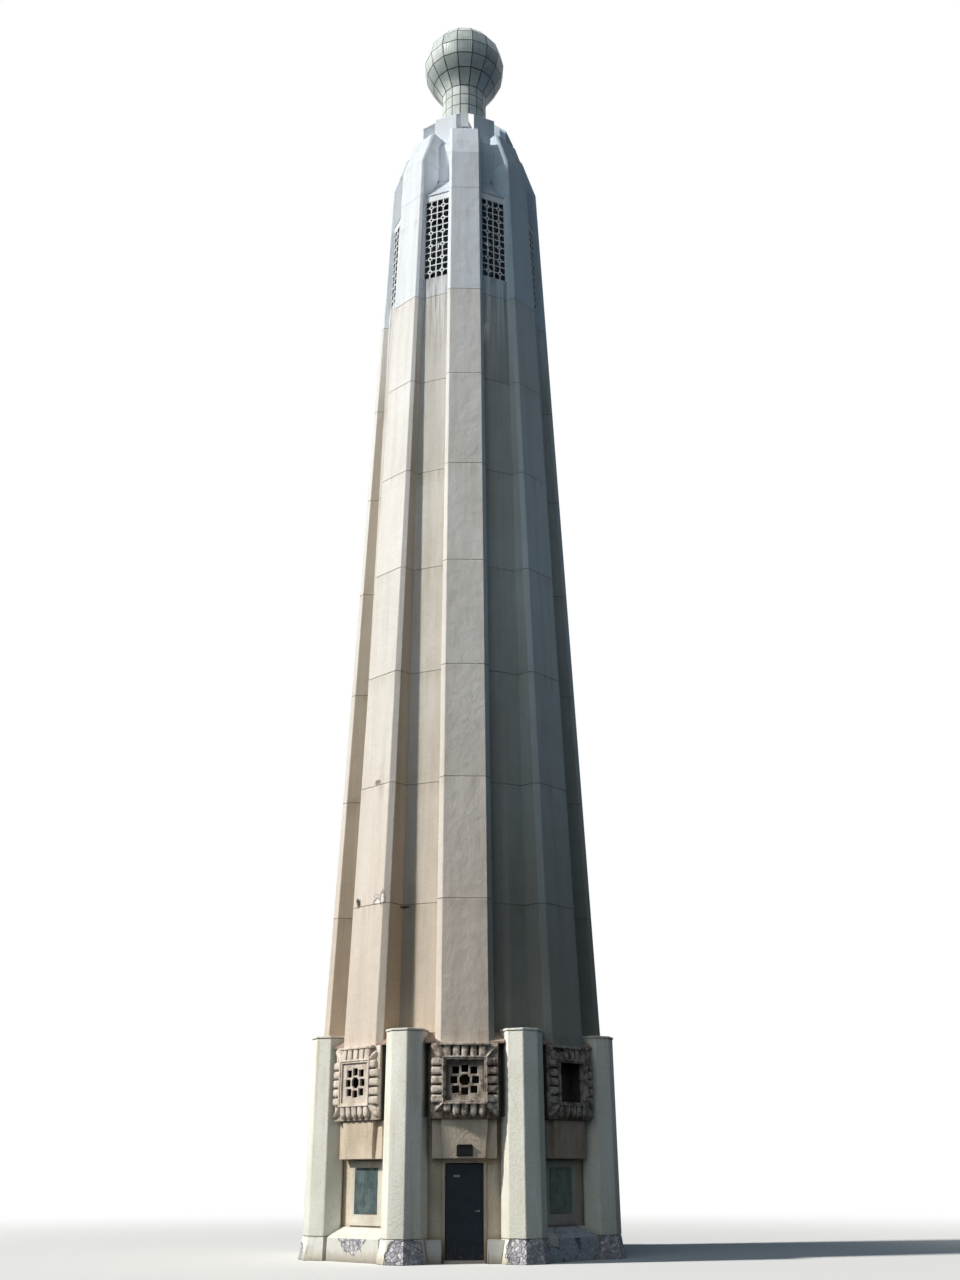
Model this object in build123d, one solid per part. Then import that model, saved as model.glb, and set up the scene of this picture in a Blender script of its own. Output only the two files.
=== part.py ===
"""Octagonal concrete memorial tower with a lit glass bulb on top, modelled at full size.

Millimetres, +Z up, origin at the centre of the tower on the ground. The door faces -Y.
Every ring of like pieces is modelled once, facing -Y, and turned about the tower's axis.
"""

from build123d import *
import os
from math import cos, radians, sin, tan

os.makedirs("parts", exist_ok=True)

# Plan of the tower
SIDES = 8
TURN = 360 / SIDES
HALF_TURN = TURN / 2
COS_HALF = cos(radians(HALF_TURN))
SIN_HALF = sin(radians(HALF_TURN))
TAN_HALF = tan(radians(HALF_TURN))

# Heights, each stacked on the one below
SHAFT_FOOT = 4870
LIFT = 3080
LIFTS = 7
GRILLE_SILL = 720
GRILLE_HEIGHT = 3050
GRILLE_LINTEL = 230
LEDGE_RISE = 970
SHOULDER_RISE = 1470
DECK_RISE = 1000
TIP_RISE = 400
ROOF_RISE = 1100
COLLAR_RISE = 1000
BELFRY_FOOT = SHAFT_FOOT + LIFTS * LIFT
GRILLE_FOOT = BELFRY_FOOT + GRILLE_SILL
BELFRY_TOP = GRILLE_FOOT + GRILLE_HEIGHT + GRILLE_LINTEL
LEDGE_TOP = BELFRY_TOP + LEDGE_RISE
SHOULDER = BELFRY_TOP + SHOULDER_RISE
CROWN_DECK = SHOULDER + DECK_RISE
RIB_TOP = CROWN_DECK + TIP_RISE
ROOF_TOP = CROWN_DECK + ROOF_RISE
COLLAR_TOP = ROOF_TOP + COLLAR_RISE

# Shaft: each pair is (height, value) at the two ends of a straight taper
RIB_REACH = ((5300, 3470), (SHOULDER, 2379))
RIB_WIDTH = ((5500, 1361), (26500, 1070))
RIB_CHAMFER = ((5500, 128), (27000, 80))
PANEL_REACH = ((5500, 2900), (27000, 2380))
WALL = 300

# Base walls
BAY_FACE = 3130
BAY_HALF = 875
BASE_WALL = 580
BASE_INNER = BAY_FACE - BASE_WALL
FLOOR_TOP = 60

# Piers
PIER_RING = 3465
PIER_TOP = SHAFT_FOOT + 45
PIER_CAP = 50
PIER_CAP_LIP = 20
PIER_FOOT = 500
PIER_FLATS_TOP = 900
PIER_FLATS_FOOT = 960
PIER_FLATS_GROUND = 1140

# Door
DOORWAY_WIDTH = 900
DOORWAY_TOP = 2060
LINING = 20
LINING_DEPTH = 100
SURROUND_TRIM = 50
SURROUND_HEAD = 70
SURROUND_PROUD = 40
SURROUND_HALF = DOORWAY_WIDTH / 2 + SURROUND_TRIM
SURROUND_TOP = DOORWAY_TOP + SURROUND_HEAD
CLEAR_HALF = DOORWAY_WIDTH / 2 - LINING
LEAF_THICK = 50
LEAF_SIDE_GAP = 10
LEAF_FLOOR_GAP = 10
LEAF_HEAD_GAP = 20
LEAF_RECESS = 20
LEAF_HALF = CLEAR_HALF - LEAF_SIDE_GAP
LEAF_TOP = DOORWAY_TOP - LINING - LEAF_HEAD_GAP
LEAF_FACE = BAY_FACE - LEAF_RECESS
LEAF_BACK = LEAF_FACE - LEAF_THICK

# Door furniture
HINGE_BARREL = 22
HINGE_BACKSET = 15
HINGE_X = 2 - CLEAR_HALF
HINGE_RHO = LEAF_BACK - HINGE_BACKSET
HINGE_SLIT = 0.3
HINGE_LUG = 18
HINGE_LUG_HALF = 8
HINGE_SPOTS = (0.17, 0.5, 0.84)
HINGE_LENGTH = 100
HINGE_STRAP = 90
HINGE_STRAP_MARGIN = 10
HANDLE_HEIGHT = 1050
HANDLE_X = LEAF_HALF - 90
HANDLE_POST = 14
HANDLE_STANDOFF = 30
HANDLE_BAR = (114, 12, 20)

# Carved panels between the piers
CARVED_HALF = 765
CARVED_Z = SHAFT_FOOT - 1085
CARVED_BODY = BAY_FACE + 400
CARVED_HEAD = 45
CARVED_SILL = 60
CARVED_TOP = CARVED_Z + CARVED_HALF + CARVED_HEAD
CARVED_FOOT = CARVED_Z - CARVED_HALF - CARVED_SILL
CARVED_VALLEY = CARVED_BODY + 60
CARVED_FALL = 0.2
FRAME_HALF = 520
FRAME_BAND = 40
FRAME_OPENING = 440
FRAME_FACE = CARVED_BODY + 130
FRAME_STEP_BACK = 20
ROLL_PITCH = 197
ROLL_COUNT = 5
ROLL_RISE = 48
ROLL_ROOT = 100
GRATE_BACK = CARVED_BODY + 10
GRATE_DEPTH = 60
CAVITY_DEPTH = 300
CAVITY_HALF = 360
GRATE_PITCH = 207
GRATE_SHIFT = 244
GRATE_HOLE = 158
GRATE_EYE = 240
BAY_WITHOUT_GRATE = 1

# Sloped coping between a rib's foot and the piers
COPING_PROUD = 360
COPING_EDGE = 40

# Corbel under a carved panel, and the plate on the one over the door
CORBEL_FOOT = SURROUND_TOP
CORBEL_HALF_TOP = 530
CORBEL_HALF_FOOT = 467
CORBEL_PROUD_TOP = 350
CORBEL_PROUD_FOOT = 310
CORBEL_BACKING_HALF = 730
CORBEL_BACKING_PROUD = 240
VENT_HALF = 180
VENT_HEIGHT = 220
VENT_LIFT = 50
VENT_PROUD = 25

# Tablets
TABLET_HALF = 380
TABLET_HEIGHT = 965
TABLET_CLEAR = 5
TABLET_THICK = 30
TABLET_BORDER = 175
TABLET_BORDER_TOP = 155
TABLET_BORDER_FOOT = 240
TABLET_SURROUND_PROUD = 35
TABLET_POCKET = 20
TABLET_TOP = CORBEL_FOOT - 30 - TABLET_BORDER_TOP - TABLET_CLEAR

# Plinth blocks between the piers
PLINTH_REACH = BAY_FACE + 430
PLINTH_BATTER = 20
PLINTH_EDGE = PIER_FOOT - 20
PLINTH_TOP = 700
DOOR_PLINTH_SETBACK = 160

# Belfry grilles
GRILLE_SETBACK = 30
GRILLE_DEPTH = 60
GRILLE_BAR = 60
GRILLE_COLUMNS = 2
GRILLE_ROWS = 6

# Crown
DRUM_REACH = 1750
DRUM_WALL = 200
RIB_ROOT = DRUM_REACH - 150
RIB_TIP_REACH = DRUM_REACH + 200
ROOF_FOOT = DRUM_REACH - 10
ROOF_HEAD = 1220
ROOF_BORE = 900
BLOCK_SETBACK = 90
BLOCK_HALF = 375
BLOCK_RISE = 170
BLOCK_SLOPE = 430
COLLAR_FOOT_RADIUS = ROOF_BORE + 120
COLLAR_HEAD_RADIUS = 900

# Bulb
BULB_SIDES = 16
BULB_TURN = 360 / BULB_SIDES
NECK_RADIUS = 760
NECK_ROWS = (540, 450, 400)
NECK_FLARE = 512
COLLAR_BORE = NECK_RADIUS - 60
BULB_RADIUS = 1397
BULB_LATITUDES = (-40, -20, 0, 22.5, 45, 67.5)
FRAME_BAR = 45
FRAME_DEPTH = 40
PANE_THICK = 8
PANE_GAP = 0.3
CAP_RADIUS = 200
CAP_RISE = 89


def taper(line, z):
    """Value at height z on a straight taper given by its two ends."""
    (z0, v0), (z1, v1) = line
    return v0 + (v1 - v0) * (z - z0) / (z1 - z0)


def spot(side, reach, z):
    """Point of the tower in the frame of a bay: side is sideways, reach is from the axis."""
    return (side, -reach, z)


def solid_between(lower, upper):
    """Straight-sided solid between two polygons that have the same number of corners."""
    faces = [Face(Wire.make_polygon(lower, close=True)), Face(Wire.make_polygon(upper, close=True))]
    for i in range(len(lower)):
        j = (i + 1) % len(lower)
        faces.append(Face(Wire.make_polygon([lower[i], lower[j], upper[j], upper[i]], close=True)))
    return Solid(Shell(faces))


def between(profile, z0, z1):
    """Solid between two heights of a plan profile, a function that gives corners at a height."""
    return solid_between(
        [spot(side, reach, z0) for side, reach in profile(z0)],
        [spot(side, reach, z1) for side, reach in profile(z1)],
    )


def upright(outline, half_width):
    """Prism across a bay, from the corners (reach, z) of its cross-section."""
    return solid_between(
        [spot(-half_width, reach, z) for reach, z in outline],
        [spot(half_width, reach, z) for reach, z in outline],
    )


def box(x0, x1, rho0, rho1, z0, z1):
    """Block between two values of side, reach and height."""
    return Pos((x0 + x1) / 2, -(rho0 + rho1) / 2, (z0 + z1) / 2) * Box(x1 - x0, rho1 - rho0, z1 - z0)


def ring(piece, start=0.0, count=SIDES, skip=()):
    """Copies of a piece turned about the tower's axis."""
    return [Rot(0, 0, start + k * TURN) * piece for k in range(count) if k not in skip]


def save(name, solids):
    """Write one node, one or several solids that don't touch, to its STEP file."""
    flat = [s for piece in solids for s in piece.solids()]
    shape = flat[0] if len(flat) == 1 else Compound(children=flat)
    shape.label = name
    export_step(shape, f"parts/{name}.step")


def half_rib(z):
    return taper(RIB_WIDTH, z) / 2


def panel_half(apothem, z):
    """Half width at a distance from the axis of a panel that fills the gap between two ribs."""
    return apothem * TAN_HALF - half_rib(z) / COS_HALF


def rib_back(apothem, z):
    """Reach at which a rib's side meets a panel face that is apothem away from the axis."""
    return (apothem - half_rib(z) * SIN_HALF) / COS_HALF


def rib_corners(z, back, reach):
    """Plan of a rib at one height: square at its back, chamfered at its outer corners."""
    w = half_rib(z)
    c = taper(RIB_CHAMFER, z)
    return [(-w, back), (w, back), (w, reach - c), (w - c, reach), (c - w, reach), (-w, reach - c)]


def strip_corners(z, inner, outer):
    """Plan of a wall strip that fills the gap between two ribs at one height."""
    a = panel_half(inner, z)
    b = panel_half(outer, z)
    return [(-a, inner), (a, inner), (b, outer), (-b, outer)]


def rib_profile(z):
    return rib_corners(z, rib_back(taper(PANEL_REACH, z) - WALL, z), taper(RIB_REACH, z))


def panel_profile(z):
    outer = taper(PANEL_REACH, z)
    return strip_corners(z, outer - WALL, outer)


def shaft():
    """Ribs and wall panels, cast in lifts of equal height. Odd and even lifts are two nodes each."""
    floors = [SHAFT_FOOT + k * LIFT for k in range(LIFTS + 1)]
    rib_lifts = list(zip(floors, floors[1:] + [BELFRY_TOP]))
    for name, start in (("odd", 0), ("even", 1)):
        ribs = []
        panels = []
        for z0, z1 in rib_lifts[start::2]:
            ribs += ring(between(rib_profile, z0, z1))
            top = GRILLE_FOOT if z1 == BELFRY_TOP else z1
            panels += ring(between(panel_profile, z0, top), HALF_TURN)
        save(f"rib_lifts_{name}", ribs)
        save(f"wall_lifts_{name}", panels)


def base_corner(reach):
    """Side of the radial joint between a bay wall and a pier wall."""
    return reach * BAY_HALF / BAY_FACE


def pier_wall_reach(reach):
    """Apothem of a pier wall face that meets a bay wall face at the radial joint."""
    return base_corner(reach) * SIN_HALF + reach * COS_HALF


def pier_wall_half(reach):
    return reach * SIN_HALF - base_corner(reach) * COS_HALF


def base_walls():
    """Walls of the base: a wide one behind each pier, one in each bay, split at the doorway."""

    def bay(z):
        a = base_corner(BASE_INNER)
        return [(-a, BASE_INNER), (a, BASE_INNER), (BAY_HALF, BAY_FACE), (-BAY_HALF, BAY_FACE)]

    def behind(z):
        a = pier_wall_half(BASE_INNER)
        b = pier_wall_half(BAY_FACE)
        inner = pier_wall_reach(BASE_INNER)
        outer = pier_wall_reach(BAY_FACE)
        return [(-a, inner), (a, inner), (b, outer), (-b, outer)]

    def jamb(z):
        d = DOORWAY_WIDTH / 2
        a = base_corner(BASE_INNER)
        return [(d, BASE_INNER), (a, BASE_INNER), (BAY_HALF, BAY_FACE), (d, BAY_FACE)]

    save("pier_walls", ring(between(behind, 0, SHAFT_FOOT), HALF_TURN))
    save("bay_walls", ring(between(bay, 0, SHAFT_FOOT), skip=(0,)))
    right = between(jamb, 0, DOORWAY_TOP)
    save("doorway_jambs", [right, mirror(right, Plane.YZ)])
    save("doorway_head", [between(bay, DOORWAY_TOP, SHAFT_FOOT)])


def floor():
    """Floor slab inside the base and the threshold in the doorway."""
    a = base_corner(BASE_INNER)
    outline = []
    for k in range(SIDES):
        for side in (-a, a):
            outline.append(Vector(side, -BASE_INNER).rotate(Axis.Z, k * TURN))
    plan = Face(Wire.make_polygon([(p.X, p.Y, 0) for p in outline], close=True))
    slab = extrude(plan, FLOOR_TOP, (0, 0, 1))
    save("floor_slab", [slab])
    d = DOORWAY_WIDTH / 2
    save("door_threshold", [box(-d, d, BASE_INNER, BAY_FACE + SURROUND_PROUD, 0, FLOOR_TOP)])


def octagon_corners(flats, reach, z):
    """Corners of a pier's plan, one flat facing outward."""
    radius = flats / 2 / COS_HALF
    angles = [radians(HALF_TURN + k * TURN) for k in range(SIDES)]
    return [(radius * sin(t), -reach - radius * cos(t), z) for t in angles]


def pier_stages():
    """Flared foot, battered body and thin cap of the pier in front of -Y, cut flat at the wall."""
    clear = box(-PIER_RING, PIER_RING, pier_wall_reach(BAY_FACE), 2 * PIER_RING, -LIFT, 2 * LIFT)
    cap_foot = PIER_TOP - PIER_CAP

    def stage(low, high, z0, z1):
        return solid_between(
            octagon_corners(low, PIER_RING, z0),
            octagon_corners(high, PIER_RING, z1),
        ) & clear

    foot = stage(PIER_FLATS_GROUND, PIER_FLATS_FOOT, 0, PIER_FOOT)
    body = stage(PIER_FLATS_FOOT, PIER_FLATS_TOP, PIER_FOOT, cap_foot)
    lip = PIER_FLATS_TOP + 2 * PIER_CAP_LIP
    return foot, body, stage(lip, lip, cap_foot, PIER_TOP)


def piers():
    """Octagonal piers at the corners of the base."""
    foot, body, cap = pier_stages()
    save("pier_feet", ring(foot, HALF_TURN))
    save("piers", ring(body, HALF_TURN))
    save("pier_caps", ring(cap, HALF_TURN))


def square(half, reach0, reach1):
    """Square block of the carved panel between two distances from the tower's axis."""
    return Pos(0, 0, (reach0 + reach1) / 2) * Box(2 * half, 2 * half, reach1 - reach0)


def rolls(count, start, end):
    """Strip of rounded rolls that run outward from a frame, falling back as they go."""
    half = ROLL_PITCH / 2
    edge = count * half
    section = [(-edge, 0)]
    for k in range(count):
        middle = (2 * k + 1) * half - edge
        for side, rise in ((-0.5, 1), (0.5, 1), (1, 0)):
            section.append((middle + side * half, rise * ROLL_RISE))
    deep = 2 * (CARVED_BODY - CARVED_VALLEY)
    section += [(edge, deep), (-edge, deep)]
    near = start - ROLL_ROOT
    bar = solid_between(
        [(x, near, CARVED_VALLEY + rise + CARVED_FALL * (start - near)) for x, rise in section],
        [(x, end, CARVED_VALLEY + rise + CARVED_FALL * (start - end)) for x, rise in section],
    )
    return bar & square(CARVED_HALF, CARVED_BODY, 2 * FRAME_FACE)


def carved_panel():
    """Square panel bordered by gadroons, with a stepped frame around a cavity for the grate."""
    body = Box(2 * CARVED_HALF, CARVED_TOP - CARVED_FOOT, CARVED_BODY - BAY_FACE)
    middle = (CARVED_TOP + CARVED_FOOT) / 2 - CARVED_Z
    panel = Pos(0, middle, (BAY_FACE + CARVED_BODY) / 2) * body
    side = rolls(ROLL_COUNT, FRAME_HALF, CARVED_HALF)
    diagonal = 2**0.5
    corner = rolls(1, FRAME_HALF * diagonal, CARVED_HALF * diagonal)
    panel += [Rot(0, 0, k * 90) * side for k in range(4)]
    panel += [Rot(0, 0, 45 + k * 90) * corner for k in range(4)]
    panel += square(FRAME_HALF, CARVED_BODY, FRAME_FACE)
    panel -= square(FRAME_HALF - FRAME_BAND, FRAME_FACE - FRAME_STEP_BACK, 2 * FRAME_FACE)
    panel -= square(FRAME_OPENING, GRATE_BACK, 2 * FRAME_FACE)
    panel -= square(CAVITY_HALF, GRATE_BACK - CAVITY_DEPTH, 2 * FRAME_FACE)
    return Pos(0, 0, CARVED_Z) * Rot(90, 0, 0) * panel


def grate():
    """Pierced plate: an eight-sided eye and eight square holes, the middle ones set further out."""
    face = Rectangle(2 * FRAME_OPENING, 2 * FRAME_OPENING)
    face -= Rot(0, 0, HALF_TURN) * RegularPolygon(GRATE_EYE / 2 / COS_HALF, SIDES)
    for i in (-1, 0, 1):
        for j in (-1, 0, 1):
            if i or j:
                step = GRATE_PITCH if i and j else GRATE_SHIFT
                face -= Pos(i * step, j * step) * Rectangle(GRATE_HOLE, GRATE_HOLE)
    return Pos(0, -GRATE_BACK, CARVED_Z) * Rot(90, 0, 0) * extrude(face, GRATE_DEPTH)


def carved_bays():
    """Carved panel in every bay, and the grate in every one but the bay that has lost it."""
    save("carved_panels", ring(carved_panel()))
    save("carved_grates", ring(grate(), skip=(BAY_WITHOUT_GRATE,)))


def rib_feet():
    """Stub of each rib between the carved panel and the first lift, and the coping beside it."""
    low = CARVED_TOP

    def stub(z):
        return rib_corners(z, BAY_FACE, taper(RIB_REACH, z))

    foot = between(stub, low, SHAFT_FOOT)
    save("rib_feet", ring(foot))
    nose = BAY_FACE + COPING_PROUD
    wash = [(BAY_FACE, low), (nose, low), (nose, low + COPING_EDGE), (BAY_FACE, SHAFT_FOOT)]
    coping = upright(wash, BAY_HALF + COPING_EDGE) - foot
    for turn in (-HALF_TURN, HALF_TURN):
        for stage in pier_stages():
            coping -= Rot(0, 0, turn) * stage
    save("bay_copings", ring(coping))


def corbels():
    """Inverted wedge on a wide backing under each carved panel, and the plate over the door."""
    top = CARVED_FOOT
    proud = ((CORBEL_FOOT, CORBEL_PROUD_FOOT), (top, CORBEL_PROUD_TOP))

    def block(half, z, back, front):
        return [spot(-half, back, z), spot(half, back, z), spot(half, front, z), spot(-half, front, z)]

    wedge = solid_between(
        block(CORBEL_HALF_FOOT, CORBEL_FOOT, BAY_FACE, BAY_FACE + CORBEL_PROUD_FOOT),
        block(CORBEL_HALF_TOP, top, BAY_FACE, BAY_FACE + CORBEL_PROUD_TOP),
    )
    half = CORBEL_BACKING_HALF
    backing = box(-half, half, BAY_FACE, BAY_FACE + CORBEL_BACKING_PROUD, CORBEL_FOOT, top)
    save("bay_corbels", ring(wedge + backing))

    def plate(z):
        face = BAY_FACE + taper(proud, z)
        return block(VENT_HALF, z, face, face + VENT_PROUD)

    vent_foot = CORBEL_FOOT + VENT_LIFT
    save("vent_plate", [solid_between(plate(vent_foot), plate(vent_foot + VENT_HEIGHT))])


def tablets():
    """Blank tablet in a raised surround in every bay but the one with the door."""
    foot = TABLET_TOP - TABLET_HEIGHT
    hole = TABLET_HALF + TABLET_CLEAR
    half = hole + TABLET_BORDER
    face = BAY_FACE + TABLET_SURROUND_PROUD
    seat = face - TABLET_POCKET
    low = foot - TABLET_CLEAR
    high = TABLET_TOP + TABLET_CLEAR
    surround = box(-half, half, BAY_FACE, face, low - TABLET_BORDER_FOOT, high + TABLET_BORDER_TOP)
    pocket = box(-hole, hole, seat, face + TABLET_POCKET, low, high)
    tablet = box(-TABLET_HALF, TABLET_HALF, seat, seat + TABLET_THICK, foot, TABLET_TOP)
    save("tablet_surrounds", ring(surround - pocket, skip=(0,)))
    save("tablets", ring(tablet, skip=(0,)))


def plinths():
    """Low block with a sloped top between the piers, cut in two at the door."""
    nose = PLINTH_REACH - PLINTH_BATTER
    shelf = BAY_FACE + TABLET_SURROUND_PROUD
    front = [(PLINTH_REACH, 0), (nose, PLINTH_EDGE), (shelf, PLINTH_TOP)]
    block = upright([(BAY_FACE, 0), *front, (BAY_FACE, PLINTH_TOP)], BAY_HALF)
    foot = PLINTH_REACH - DOOR_PLINTH_SETBACK
    head = foot - PLINTH_BATTER / 2
    side = [(BAY_FACE, 0), (foot, 0), (head, PLINTH_EDGE), (BAY_FACE, PLINTH_EDGE)]
    small = Pos((BAY_HALF + SURROUND_HALF) / 2, 0, 0) * upright(side, (BAY_HALF - SURROUND_HALF) / 2)
    for turn in (-HALF_TURN, HALF_TURN):
        for stage in pier_stages():
            block -= Rot(0, 0, turn) * stage
            small -= Rot(0, 0, turn) * stage
    save("bay_plinths", ring(block, skip=(0,)))
    save("door_plinths", [small, mirror(small, Plane.YZ)])


def doorway():
    """Metal door that swings inward, with its lining, surround, handle and hinges."""
    d = DOORWAY_WIDTH / 2
    front = BAY_FACE + SURROUND_PROUD
    beyond = front + SURROUND_PROUD
    lining = box(-d, d, front - LINING_DEPTH, front, FLOOR_TOP, DOORWAY_TOP)
    lining += box(-SURROUND_HALF, SURROUND_HALF, BAY_FACE, front, 0, SURROUND_TOP)
    lining -= box(-CLEAR_HALF, CLEAR_HALF, BASE_INNER, beyond, -LINING, DOORWAY_TOP - LINING)
    lining -= box(-d, d, BASE_INNER, beyond, -LINING, FLOOR_TOP)
    save("door_surround", [lining])
    leaf = box(-LEAF_HALF, LEAF_HALF, LEAF_BACK, LEAF_FACE, FLOOR_TOP + LEAF_FLOOR_GAP, LEAF_TOP)
    save("door_leaf", [leaf])

    length, deep, high = HANDLE_BAR
    post = extrude(RegularPolygon(HANDLE_POST, SIDES), HANDLE_STANDOFF)
    handle = Pos(HANDLE_X, -LEAF_FACE, HANDLE_HEIGHT) * Rot(90, 0, 0) * post
    back = LEAF_FACE + HANDLE_STANDOFF
    low = HANDLE_HEIGHT - high / 2
    right = HANDLE_X + HANDLE_POST
    save("door_handle", [handle + box(right - length, right, back, back + deep, low, low + high)])

    barrels = []
    brackets = []
    half = HINGE_LENGTH / 2
    strap_half = half - HINGE_STRAP_MARGIN
    lug = (HINGE_RHO - HINGE_LUG_HALF, HINGE_RHO + HINGE_LUG_HALF)
    tube = extrude(RegularPolygon(HINGE_BARREL / 2, SIDES), HINGE_LENGTH)
    for z in [LEAF_TOP * spot_height for spot_height in HINGE_SPOTS]:
        barrel = Pos(HINGE_X, -HINGE_RHO, z - half) * tube
        strap = box(HINGE_X, HINGE_X + HINGE_STRAP, HINGE_RHO + 5, LEAF_BACK, z - strap_half, z + strap_half)
        barrels.append(barrel + strap)
        for low in (z - half - HINGE_SLIT - HINGE_LUG, z + half + HINGE_SLIT):
            brackets.append(box(-d, HINGE_X + HINGE_LUG_HALF, *lug, low, low + HINGE_LUG))
    save("hinge_barrels", barrels)
    save("hinge_brackets", brackets)


def belfry():
    """Pierced grilles between the ribs, almost flush with the wall strips, and the lintel over each."""

    def plate(z):
        outer = taper(PANEL_REACH, z) - GRILLE_SETBACK
        return strip_corners(z, outer - GRILLE_DEPTH, outer)

    screen = between(plate, GRILLE_FOOT, BELFRY_TOP)
    reach = taper(PANEL_REACH, BELFRY_TOP)
    high = GRILLE_HEIGHT / GRILLE_ROWS
    wide = 2 * panel_half(reach - GRILLE_SETBACK, BELFRY_TOP) / GRILLE_COLUMNS
    hole_half = (wide - GRILLE_BAR) / 2
    for i in range(GRILLE_COLUMNS):
        x = (i + 0.5 - GRILLE_COLUMNS / 2) * wide
        for j in range(GRILLE_ROWS):
            low = GRILLE_FOOT + j * high + GRILLE_BAR / 2
            top = low + high - GRILLE_BAR
            screen -= box(x - hole_half, x + hole_half, reach - 2 * WALL, reach + WALL, low, top)
    save("belfry_grilles", ring(screen, HALF_TURN))


def crown():
    """Sloped ledges over the grilles, leaning rib tops and the drum between them."""
    eaves = taper(PANEL_REACH, BELFRY_TOP)
    drum_in = DRUM_REACH - DRUM_WALL
    slope_out = ((BELFRY_TOP, eaves), (LEDGE_TOP, DRUM_REACH))
    slope_in = ((BELFRY_TOP, eaves - WALL), (LEDGE_TOP, drum_in))

    def ledge(z):
        return strip_corners(z, taper(slope_in, z), taper(slope_out, z))

    save("belfry_ledges", ring(between(ledge, BELFRY_TOP, LEDGE_TOP), HALF_TURN))

    backs = ((BELFRY_TOP, rib_back(eaves - WALL, BELFRY_TOP)), (SHOULDER, RIB_ROOT))

    def shoulder(z):
        return rib_corners(z, taper(backs, z), taper(RIB_REACH, z))

    save("crown_ribs", ring(between(shoulder, BELFRY_TOP, SHOULDER)))

    lean = ((SHOULDER, taper(RIB_REACH, SHOULDER)), (RIB_TOP, RIB_TIP_REACH))

    def leaning(z):
        return rib_corners(z, RIB_ROOT, taper(lean, z))

    tips = ring(between(leaning, SHOULDER, RIB_TOP))
    save("crown_rib_tips", tips)

    def drum(z):
        return strip_corners(z, drum_in, DRUM_REACH)

    save("drum_walls", ring(between(drum, LEDGE_TOP, CROWN_DECK), HALF_TURN))
    roof_and_blocks(tips)


def roof_and_blocks(tips):
    """Sloped roof of the drum between the rib tips, and the upright blocks that stand on it."""
    slope = solid_between(
        octagon_corners(2 * ROOF_FOOT, 0, CROWN_DECK),
        octagon_corners(2 * ROOF_HEAD, 0, ROOF_TOP),
    )
    bore = extrude(Pos(0, 0, CROWN_DECK) * RegularPolygon(ROOF_BORE, BULB_SIDES), 2 * ROOF_RISE)
    roof = Rot(0, 0, HALF_TURN) * slope - bore
    for tip in tips:
        roof -= tip
    save("drum_roof", [roof])

    face = ROOF_FOOT - BLOCK_SETBACK
    foot = CROWN_DECK + BLOCK_SETBACK / (ROOF_FOOT - ROOF_HEAD) * ROOF_RISE
    top = ROOF_TOP + BLOCK_RISE
    outline = [(face, foot), (face, top), (ROOF_HEAD, top + BLOCK_SLOPE), (ROOF_HEAD, ROOF_TOP)]
    block = Rot(0, 0, HALF_TURN) * upright(outline, BLOCK_HALF)
    for tip in (tips[0], tips[1]):
        block -= tip
    save("crown_blocks", ring(block))


def bulb_collar():
    """Sloped ring between the roof and the foot of the bulb."""
    turns = [(k + 0.5) * BULB_TURN for k in range(BULB_SIDES)]
    collar = solid_between(
        corners_of_ring(ROOF_TOP, COLLAR_FOOT_RADIUS, turns),
        corners_of_ring(COLLAR_TOP, COLLAR_HEAD_RADIUS, turns),
    )
    hollow = Rot(0, 0, BULB_TURN / 2) * RegularPolygon(COLLAR_BORE, BULB_SIDES)
    collar -= extrude(Pos(0, 0, CROWN_DECK) * hollow, 2 * (COLLAR_TOP - CROWN_DECK))
    save("bulb_collar", [collar])


def bulb_rings():
    """Outer and inner (height, corner radius) of the frame's rings, so that faces stay parallel."""
    heights = [COLLAR_TOP + sum(NECK_ROWS[:k]) for k in range(len(NECK_ROWS) + 1)]
    outer = [(z, NECK_RADIUS) for z in heights]
    neck = NECK_RADIUS - FRAME_DEPTH
    inner = [(z, neck) for z in heights[:-1]]
    centre = heights[-1] + NECK_FLARE - BULB_RADIUS * sin(radians(BULB_LATITUDES[0]))
    ball_out = []
    ball_in = []
    for latitude in BULB_LATITUDES:
        t = radians(latitude)
        ball_out.append((centre + BULB_RADIUS * sin(t), BULB_RADIUS * cos(t)))
        thin = BULB_RADIUS - FRAME_DEPTH
        ball_in.append((centre + thin * sin(t), thin * cos(t)))
    (z0, r0), (z1, r1) = outer[-1], ball_out[0]
    inner.append((ball_in[0][0] - (ball_in[0][1] - neck) * (z1 - z0) / (r1 - r0), neck))
    return outer + ball_out, inner + ball_in


def at(z, radius, turn):
    """Point at a height and radius, turned about the axis from the door side."""
    t = radians(turn)
    return Vector(radius * sin(t), -radius * cos(t), z)


def corners_of_ring(z, radius, turns):
    return [at(z, radius, turn) for turn in turns]


def cell(low, high, turn0, turn1):
    """Corners of the flat field between two rings and two upright bars, seen from outside."""
    return [at(*low, turn0), at(*low, turn1), at(*high, turn1), at(*high, turn0)]


def facing(corners):
    return (corners[1] - corners[0]).cross(corners[2] - corners[0]).normalized()


def inset(corners, margin):
    """Corners moved inward in their own plane, the same distance from every edge."""
    normal = facing(corners)
    moved = []
    for i, corner in enumerate(corners):
        before = normal.cross((corner - corners[i - 1]).normalized())
        after = normal.cross((corners[(i + 1) % len(corners)] - corner).normalized())
        moved.append(corner + (before + after) * (margin / (1 + before.dot(after))))
    return moved


def polygon(corners):
    return Wire.make_polygon([tuple(c) for c in corners], close=True)


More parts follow.
